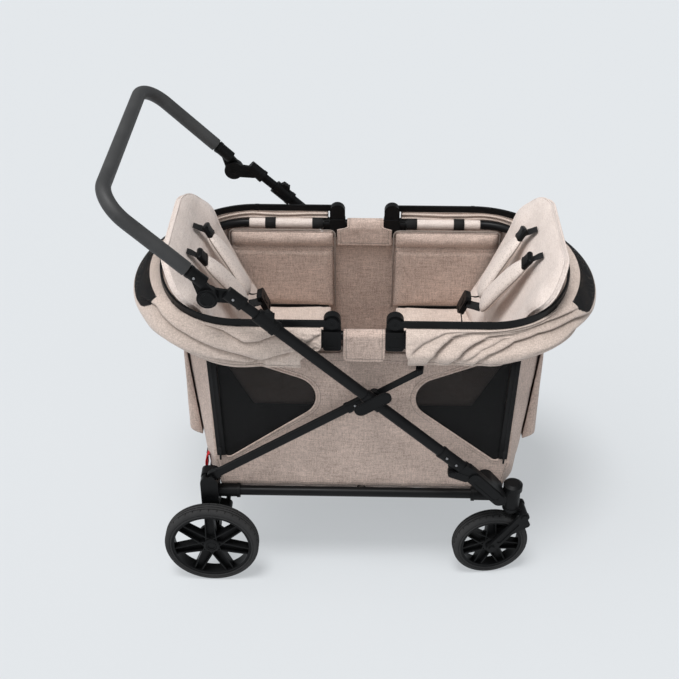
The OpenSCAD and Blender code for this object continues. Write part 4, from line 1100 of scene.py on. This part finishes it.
def shoulder_seams():
    """Piping round the edge of each shoulder pad."""
    l = (PAD_TOP - PAD_FOOT).length
    parts = []
    for side in SIDES:
        line = []
        for k in range(48):
            a = 2 * math.pi * k / 48
            x = math.copysign(abs(math.cos(a)) ** 0.5, math.cos(a)) * (l / 2)
            y = math.copysign(abs(math.sin(a)) ** 0.72, math.sin(a)) * mix(33, 28, x / l + 0.5)
            line.append((x, y, 5 * (1 - (2 * x / l) ** 2)))
        parts.append((sweep(line, ring(1.7, 6), UP, True), pad_frame(side)))
    return joined(parts)


def harness_webbing():
    parts = []
    lean = (-0.9, 0, 0.4)
    for side in SIDES:
        flip = Vector((1, side, 1))
        high = [(x, side * STRAP_Y, z) for x, z in (on_back(362, 12.5), on_back(352, 22))]
        down = [tuple(p * flip) for p in (PAD_TOP, (PAD_TOP + PAD_FOOT) / 2, PAD_FOOT)]
        line = through(high + down)
        parts.append(sweep(line, flat_section(24, 2.2), lean))
        low = [(282, side * 22, 655), (268, side * 20, 658), (258, side * 19, 661)]
        parts.append(sweep(through(down[-1:] + low), flat_section(22, 2.4), lean))
    crotch = through([(244, 0, 630), (250, 0, 596), (252, 0, 548), (252, 0, 499)])
    parts.append(sweep(crotch, flat_section(28, 2.4), (-1, 0, 0.1)))
    return joined(parts)


def adjusters():
    """A slide buckle at the top of each shoulder pad: a rounded block with a lip and a bar."""
    half = (PAD_TOP - PAD_FOOT).length / 2
    parts = []
    for side in SIDES:
        lay = pad_frame(side) @ Matrix.Translation((half + 8, 0, 4))
        parts.append((block((36, 38, 13), 5.5, 4), lay))
        parts.append((block((9, 30, 7), 2.8, 4), lay @ Matrix.Translation((12, 0, 5))))
        parts.append((block((5, 38, 6), 2.4, 4), lay @ Matrix.Translation((-10, 0, 4))))
    return joined(parts)


shapes = (("shoulder_pads", shoulder_pads(), SPACER, "padding"),
          # Painted shade: the pad piping uses the darker copy of the linen.
          ("shoulder_pad_piping", shoulder_seams(), LINEN_SEAM_SHADE, "padding"),
          ("harness_webbing", harness_webbing(), WEBBING, "mesh"),
          ("strap_adjusters", adjusters(), SMOOTH_PLASTIC, "black_plastic"))
for kind, shape, finish, slot in shapes:
    for end, name in END_NAMES:
        made = soft(f"{kind}_{name}", at_end(shape, end), finish, slot)
        if kind == "shoulder_pads":
            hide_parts(f"harness_{name}")
    shape.free()

# Flaps over the middle of the rail, and the sleeves and bands along it


def rail_flap(side, name):
    """Cloth over the rail between the brackets, which spreads below them inside the tub."""
    half, middle, wings = 48, 2, 25
    inner, outer = 57, 64 if side < 0 else 66
    r = RAIL_R + 2.6

    def place(u, v):
        bend = math.pi * r
        run = inner + bend + outer
        s = v * run
        over = max(0.0, s - run + 12)
        cut = 12 - math.sqrt(144 - over * over)
        spread = smooth((inner - 2 - s) / 9)
        x = (2 * u - 1) * (half - cut + wings * spread) + middle * (1 - spread)
        ease = hump(u, 0, 0.045) + hump(u, 1, 0.045)
        if s < inner:
            y, z = -r, RAIL_Z - inner + s
        elif s < inner + bend:
            a = (s - inner) / r
            y, z = -r * math.cos(a), RAIL_Z + r * math.sin(a)
        else:
            y, z = r + 1.0 * smooth((s - inner - bend) / 40), RAIL_Z - (s - inner - bend)
        y += 0.7 * wander(x, s, 0, 30, side) - 0.7 * math.copysign(ease, y)
        y -= 3.4 * smooth((inner + 6 - s) / 14)
        return Vector((x, side * (RAIL_Y + y), z))

    flap = piece(f"rail_flap_{name}", grid(40, 90, place), LINEN, "top_frame", "cloth", 2.4)
    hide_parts("rail_wraps")
    lines = []
    for u in (0.07, 0.93):
        edge = [place(u, k / 60) for k in range(3, 58)]
        lines.append(sweep(edge, ring(1.6, 6), (1, 0, 0)))
    for v in (0.045, 0.95):
        edge = [place(k / 20, v) for k in range(1, 20)]
        lines.append(sweep(edge, ring(1.6, 6), (0, side, 0.01)))
    # Painted shade: the flap seams use the darker copy of the linen.
    piece(f"rail_flap_seams_{name}", joined(lines), LINEN_SEAM_SHADE, "top_frame", "cloth")


BAND_R = 14.2


def rail_sleeves():
    """Cloth round the rail's sides, a little wrinkled along its length."""
    sleeves, bands = [], []
    turns = [(0, math.cos(a), math.sin(a)) for a in (2 * math.pi * k / 32 for k in range(32))]
    for side in SIDES:
        for end in SIDES:
            def around(u, v):
                a = 2 * math.pi * v
                x = mix(114, 306, u)
                c, s = math.cos(a), math.sin(a)
                r = RAIL_R + 1.6 + 0.5 * wander(x, 30 * c, 30 * s, 22, side + end)
                return Vector((end * x, side * RAIL_Y + r * c, RAIL_Z + r * s))
            sleeves.append(close_up(grid(70, 28, around)))
            for x in (125, 250):
                loop = [(end * x, side * RAIL_Y + BAND_R * c, RAIL_Z + BAND_R * s)
                        for _, c, s in turns]
                bands.append(sweep(loop, flat_section(28, 1.6), lambda k: turns[k], True))
    # Painted light: the sleeves use the lightest copy of the linen.
    piece("rail_sleeves", joined(sleeves), LINEN_LIT, "top_frame", "cloth")
    piece("rail_bands", joined(bands), WEBBING, "top_frame", "mesh")


def bracket_tabs():
    """Cloth tabs that hang from the brackets inside the walls' cut-outs."""
    tabs = []
    for side in SIDES:
        for end in SIDES:
            def place(u, v):
                x = end * mix(42, 120, u)
                y = 250.6 + 0.4 * wander(x, 0, 40 * v, 30, side)
                return Vector((x, side * y, mix(668, 692.5, v)))
            tabs.append(grid(20, 10, place))
    made = piece("bracket_tabs", joined(tabs), LINEN, "top_frame", "cloth", 1.2)


for side, name in SIDE_NAMES:
    rail_flap(side, name)
rail_sleeves()
bracket_tabs()

# Canopies: each is one gathered sheet round the outside of its bow, with a net band at the end

BOW_K = BOW_Y - BOW_R1
BOW_D = BOW_REACH - BOW_C1
BOW_R2 = (BOW_D ** 2 + BOW_K ** 2 - BOW_R1 ** 2) / (2 * (BOW_D - BOW_R1))
BOW_TURN = math.atan2(BOW_K, BOW_R2 - BOW_D)
CANOPY_START = 98
ARM = BOW_C1 - CANOPY_START
ARC_1 = (math.pi / 2 - BOW_TURN) * BOW_R1
ARC_2 = BOW_TURN * BOW_R2
HALF_RUN = ARM + ARC_1 + ARC_2

# Sections of the canopy as (out from the bow, height), along the arms and at the end
SECTION_SIDE = [(-3, 757), (6, 754), (14, 746), (20, 735), (23, 722), (24, 708), (24, 694),
                (23, 682), (21, 671), (17, 660), (12, 652)]
SECTION_END = [(-3, 759), (9, 763), (22, 764), (35, 759), (48, 749), (60, 735), (68, 720),
               (66, 707), (54, 698), (38, 694), (20, 698)]
DROP = 105

# Between these heights, in metres, a canopy passes from the rail to its bow
BLEND_LOW, BLEND_HIGH = (0, 0, 0.70), (0, 0, 0.760)


def bow_spot(run):
    """Point, outward direction and share of the way to the end, at a distance along half a bow."""
    if run < ARM:
        return Vector((CANOPY_START + run, BOW_Y, 0)), Vector((0, 1, 0)), 0.0
    run -= ARM
    if run < ARC_1:
        a = math.pi / 2 - run / BOW_R1
        out = Vector((math.cos(a), math.sin(a), 0))
        spot = Vector((BOW_C1, BOW_K, 0)) + BOW_R1 * out
    else:
        a = BOW_TURN - (run - ARC_1) / BOW_R2
        out = Vector((math.cos(a), math.sin(a), 0))
        spot = Vector((BOW_REACH - BOW_R2, 0, 0)) + BOW_R2 * out
    return spot, out, smooth((math.pi / 2 - a) / (math.pi / 2))


def section_at(points, v):
    """A smooth walk along a section, v from 0 to 1."""
    t = v * (len(points) - 1)
    k = min(int(t), len(points) - 2)
    t -= k
    near = [points[max(0, k - 1)], points[k], points[k + 1], points[min(len(points) - 1, k + 2)]]
    return [spline(*(p[i] for p in near), t) for i in (0, 1)]


# Folds as their depth and the line they follow: distance along the bow and place across the sheet
FOLDS = {
    "front": [(16, [(38, 1.02), (54, 0.78), (70, 0.56), (88, 0.38), (108, 0.24), (150, 0.13),
                    (260, 0.10), (410, 0.15)]),
              (15, [(92, 1.02), (112, 0.74), (132, 0.52), (158, 0.35), (190, 0.25), (250, 0.21),
                    (330, 0.25), (440, 0.42)]),
              (13, [(150, 1.02), (168, 0.78), (190, 0.60), (244, 0.42), (300, 0.38), (400, 0.50),
                    (480, 0.66)]),
              (9, [(212, 1.02), (290, 0.70), (380, 0.64), (470, 0.78)]),
              (6, [(4, 0.62), (40, 0.36), (90, 0.14), (170, 0.06)]),
              (5, [(120, 0.88), (170, 0.50), (230, 0.30), (300, 0.29)])],
    "rear": [(10, [(70, 0.30), (104, 0.25), (140, 0.34), (175, 0.36), (222, 0.18), (310, 0.06)]),
             (11, [(100, 0.82), (160, 0.66), (210, 0.58), (300, 0.42), (400, 0.36), (480, 0.52)]),
             (8, [(40, 0.60), (140, 0.84), (260, 0.80), (400, 0.66)]),
             (7, [(-10, 0.16), (40, 0.45), (90, 0.56)])],
}


def fold_depth(folds, run, v, below=15.0, above=2.2):
    """How far the folds draw the cloth in: each hangs over sharply and comes back slowly below."""
    total = 0.0
    for depth, line in folds:
        if line[0][0] < run < line[-1][0]:
            k = next(i for i in range(len(line) - 1) if run <= line[i + 1][0])
            (run_0, v_0), (run_1, v_1) = line[k], line[k + 1]
            slope = (v_1 - v_0) * DROP / (run_1 - run_0)
            off = (v - mix(v_0, v_1, (run - run_0) / (run_1 - run_0))) * DROP / math.hypot(1, slope)
            fade = smooth((run - line[0][0]) / 16) * smooth((line[-1][0] - run) / 70)
            total += depth * fade * math.exp(-off / below if off > 0 else off / above)
    return total


def canopy_place(end, name):
    rear = name == "rear"
    hem_lift = 0 if rear else 20
    step_back = 48 if rear else 6

    def place(u, v):
        run = 2 * HALF_RUN * u
        far = run > HALF_RUN
        run = 2 * HALF_RUN - run if far else run
        shift = step_back * smooth((v - 0.45) / 0.3) * max(0.0, 1 - run / (ARM + 40))
        spot, out, e = bow_spot(run + shift)
        sections = zip(section_at(SECTION_SIDE, v), section_at(SECTION_END, v))
        o, z = (mix(p, q, e) for p, q in sections)
        under = smooth(v * 7)
        if rear:
            o *= mix(0.72, 1.0, smooth((run - 110) / 60))
            o -= 5 * abs(wander(run, z * 1.3, 0, 17, far)) * under * (1 - smooth((run - 40) / 70))
        o -= 1.25 * fold_depth(FOLDS[name], run, v) * under
        if not rear:
            o += 8 * smooth((v - 0.35) / 0.3) * (1 - e)
        least = 1.0 if rear else mix(1.0, 16.0, smooth((v - 0.4) / 0.15) * (1 - e))
        o = max(o, least) if v > 0.08 else o
        o += 1.2 * wander(spot.x, spot.y * 2, z * 2, 46, end + far) * under * (1 - e)
        wave = 2.2 * math.sin(run / 31 + 4 * far) + 2.5 * wander(run, z, 0, 60, far)
        z += wave * smooth(v * 3) * (1 - 0.6 * e) * (1 - 0.75 * smooth((v - 0.7) / 0.3))
        z += hem_lift * smooth(v * 1.4 - 0.4) * (1 - e)
        p = spot + out * (BOW_OUT + o)
        return Vector((end * p.x, p.y * (1 if far else -1), z))

    return place


def canopy(end, name):
    place = canopy_place(end, name)
    net_low, net_high, net_half = 0.215, 0.56, 0.265

    def finish_at(u, v):
        across = 2 * (v - net_low) / (net_high - net_low) - 1
        return int(abs(across) < 1 and abs(2 * u - 1) < net_half - 0.05 * max(0.0, across) ** 2)

    # Painted shade: how much fold shade and hem shade is painted at each corner
    def crease_shade_at(u, v):
        run = HALF_RUN * (1 - abs(2 * u - 1))
        hem = 0.6 * hump(v, 0.925, 0.012)
        return min(1.0, 0.075 * fold_depth(FOLDS[name], run, v, 4.0, 1.6) + hem)

    bm = grid(300, 92, place, finish_at, crease_shade_at)
    # Painted light: the cover uses a lighter copy of the linen.
    cover = piece(f"canopy_cover_{name}", bm, [LINEN_HALF_LIT, NET_BLACK], None, "cloth", 1.8)
    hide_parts(f"canopy_{name}")
    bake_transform(cover)
    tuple(BLEND_LOW)
    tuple(BLEND_HIGH)
    trims = []
    for v, r in ((1.0, 2.0), (net_low, 1.3), (net_high, 1.3)):
        reach = 0.0 if v == 1.0 else 0.5 - net_half / 2
        line = [place(mix(reach, 1 - reach, k / 160), v) for k in range(161)]
        trims.append(sweep(line, ring(r, 6), UP))
    for u in (0.0, 1.0):
        trims.append(sweep([place(u, k / 30) for k in range(1, 31)], ring(1.6, 6), (1, 0, 0.2)))
    hem = [place(k / 200, 0.925) for k in range(3, 198)]
    stitches = sweep(hem, ring(1.3, 6), UP)
    # Painted light on the piping (a lighter copy of the linen) and painted shade on the hem seam (a
    # darker copy).
    sewn = (("piping", joined(trims), LINEN_HALF_LIT), ("hem_seam", stitches, LINEN_SEAM_SHADE))
    for label, shape, finish in sewn:
        trim = piece(f"canopy_{label}_{name}", shape, finish, None, "cloth")
        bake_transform(trim)
        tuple(BLEND_LOW)
        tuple(BLEND_HIGH)


RAIL_TURN = 125
RAIL_END = 432
RAIL_ARM = RAIL_END - RAIL_TURN - CANOPY_START
RAIL_ARC = RAIL_TURN * math.pi / 2
RAIL_RUN = RAIL_ARM + RAIL_ARC + RAIL_Y - RAIL_TURN


def rail_spot(t):
    """Point and outward direction on the rail, t from the bracket to the middle of the end."""
    run = t * RAIL_RUN
    if run < RAIL_ARM:
        return Vector((CANOPY_START + run, RAIL_Y, 0)), Vector((0, 1, 0))
    if run < RAIL_ARM + RAIL_ARC:
        a = math.pi / 2 - (run - RAIL_ARM) / RAIL_TURN
        out = Vector((math.cos(a), math.sin(a), 0))
        return Vector((RAIL_END - RAIL_TURN, RAIL_Y - RAIL_TURN, 0)) + RAIL_TURN * out, out
    return Vector((RAIL_END, RAIL_RUN - run, 0)), Vector((1, 0, 0))


def canopy_apron(end, name):
    """The pleated cloth that closes the space between the bow and the rail."""
    def place(u, v):
        t = 1 - abs(2 * u - 1)
        far = u > 0.5
        spot, out, e = bow_spot(t * HALF_RUN)
        held, away = rail_spot(t)
        top = spot - out * 1.5
        low = held + away * (RAIL_R + 2.5)
        p = top.lerp(low, smooth(v / 0.55))
        pleat = mix(6.4, 3.0, e) * math.sin(11 * v * math.pi + 0.9 * math.sin(t * 17 + far))
        p += out * (pleat * math.sin(math.pi * min(1.0, v / 0.6)))
        z = mix(758.5, RAIL_Z - 26, v) - 5 * e * math.sin(math.pi * v)
        z += 1.2 * wander(t * 400, v * 60, far, 40, end)
        return Vector((end * p.x, p.y * (1 if far else -1), z))

    bm = grid(240, 48, place)
    # Painted light: the apron uses a lighter copy of the linen.
    apron = piece(f"canopy_apron_{name}", bm, LINEN_HALF_LIT, "top_frame", "cloth", 1.4)


for end, name in reversed(END_NAMES):
    canopy(end, name)
    canopy_apron(end, name)

# Small trim: pull strap, hooks under the canopies, rivets

PULL_STRAP_Y = -200


def pull_strap():
    loop = [(-386, 324), (-393, 312), (-397.5, 296), (-398, 280), (-396, 272), (-394, 280),
            (-393.5, 300)]
    line = through([(x, PULL_STRAP_Y, z) for x, z in loop])
    return sweep(line, flat_section(22, 2.4), (-1, 0, 0.05))


strap = soft("pull_strap_loop", pull_strap(), RED_WEBBING, "strap")
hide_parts("pull_strap")


def hooks():
    parts = []
    for end in SIDES:
        for side in SIDES:
            lay = Matrix.Translation((end * 451, side * 182, 672))
            lay = lay @ Matrix.Rotation(end * 0.35, 4, "Y")
            parts.append((block((5, 15, 26), 2.0), lay))
            parts.append((block((9, 11, 6), 2.0), lay @ Matrix.Translation((end * 4, 0, -9))))
    return joined(parts)


piece("canopy_hooks", hooks(), SMOOTH_PLASTIC, "top_frame", "black_plastic")

RIVET = [(0, 1.6), (1.8, 1.5), (2.9, 1.0), (3.3, 0.3), (3.3, -0.6), (0, -0.6)]


def rivets(spots):
    """Domed rivets on the outer faces of both sides, from (side-view point, distance across)."""
    parts = []
    for (x, z), y in spots:
        for side in SIDES:
            turn = Matrix.Rotation(-side * math.pi / 2, 4, "X")
            parts.append((turned(RIVET, 20), Matrix.Translation((x, side * y, z)) @ turn))
    return joined(parts)


for label, body, spots in (
    ("knuckles", "push_frame", [(on_push(-46), KNUCKLE_RIVET_Y), (on_push(-14), KNUCKLE_RIVET_Y)]),
    ("lower_hubs", "handle_slider", [(on_push(-715), HUB_RIVET_Y)]),
    ("upper_hubs", "handle", [(on_handle(56), HANDLE_RIVET_Y)]),
    ("sleeves", "braces", [(along(CROSSING, BRACE_SLOPE, -50), BRACE_RIVET_Y)]),
):
    piece(f"rivets_{label}", rivets(spots), STEEL, body, "steel")

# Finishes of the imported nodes

FINISHES = {"frame_tube": TUBE, "black_plastic": PLASTIC, "board": BOARD, "steel": TUBE,
            "foam": FOAM, "tyre": RUBBER}
SMOOTH_NODES = ("handle_button_right", "handle_button_left", "crossing_covers", "corner_covers",
                "buckle_rear", "buckle_front", "buckle_button_rear", "buckle_button_front")
for sub in frame["record"]["subparts"]:
    node = nodes[sub["node"]]
    finish = SMOOTH_PLASTIC if sub["node"] in SMOOTH_NODES else FINISHES.get(sub["material_slot"])
    if finish is not None:
        node.data.materials.clear()
        node.data.materials.append(finish)

# Floor, light and camera

BACKGROUND = (0.761, 0.791, 0.815)
FLOOR_TONE = (0.615, 0.634, 0.652)
FLOOR_STEADY = 0.55
FLOOR_RADIUS = 14.0
SKY_STRENGTH = 0.36

# Name, place in metres, spread in degrees and strength of each lamp
LAMPS = (("top", (-0.4, -0.75, 3.6), 20, 2.25),
         ("left", (-2.2, -0.8, 2.4), 70, 1.2),
         ("front", (1.0, -3.0, 1.6), 60, 0.3))

# The camera fitted to the picture: metres, degrees and millimetres
EYE = (-0.005, -2.508, 2.296)
EYE_TILT, EYE_TURN = 54.9, 1.28
LENS, SENSOR = 63.1, 36.0


def floor_finish():
    """Pale studio floor: a steady tone for the camera that still takes the wagon's shadow."""
    finish = bpy.data.materials.new("studio_floor")
    finish.use_nodes = True
    tree = finish.node_tree
    tree.nodes.clear()
    lit = add(tree, "BsdfDiffuse", {"Color": (*FLOOR_TONE, 1)}).outputs[0]
    steady = add(tree, "Emission", {"Color": (*BACKGROUND, 1), "Strength": 1.0}).outputs[0]
    both = add(tree, "MixShader", {0: FLOOR_STEADY, 1: lit, 2: steady}).outputs[0]
    put(tree, both, add(tree, "OutputMaterial").inputs["Surface"])
    return finish


def studio():
    bm = bmesh.new()
    bmesh.ops.create_circle(bm, cap_ends=True, segments=64, radius=FLOOR_RADIUS)
    mesh = bpy.data.meshes.new("floor")
    bm.to_mesh(mesh)
    bm.free()
    mesh.materials.append(floor_finish())
    floor = bpy.data.objects.new("floor", mesh)
    scene.collection.objects.link(floor)
    world = bpy.data.worlds.new("studio")
    scene.world = world
    world.use_nodes = True
    sky = world.node_tree.nodes["Background"].inputs
    sky["Color"].default_value = (*BACKGROUND, 1)
    sky["Strength"].default_value = SKY_STRENGTH
    for name, spot, spread, power in LAMPS:
        light = bpy.data.lights.new(name, "SUN")
        light.angle = math.radians(spread)
        light.energy = power
        lamp = bpy.data.objects.new(name, light)
        lamp.location = spot
        lamp.rotation_euler = (-Vector(spot)).to_track_quat("-Z", "Y").to_euler()
        scene.collection.objects.link(lamp)


def camera():
    lens = bpy.data.cameras.new("camera")
    lens.sensor_width = SENSOR
    lens.lens = LENS
    eye = bpy.data.objects.new("camera", lens)
    eye.location = EYE
    eye.rotation_euler = (math.radians(EYE_TILT), 0, math.radians(EYE_TURN))
    scene.collection.objects.link(eye)
    scene.camera = eye


studio()
camera()
scene.view_settings.view_transform = "Standard"
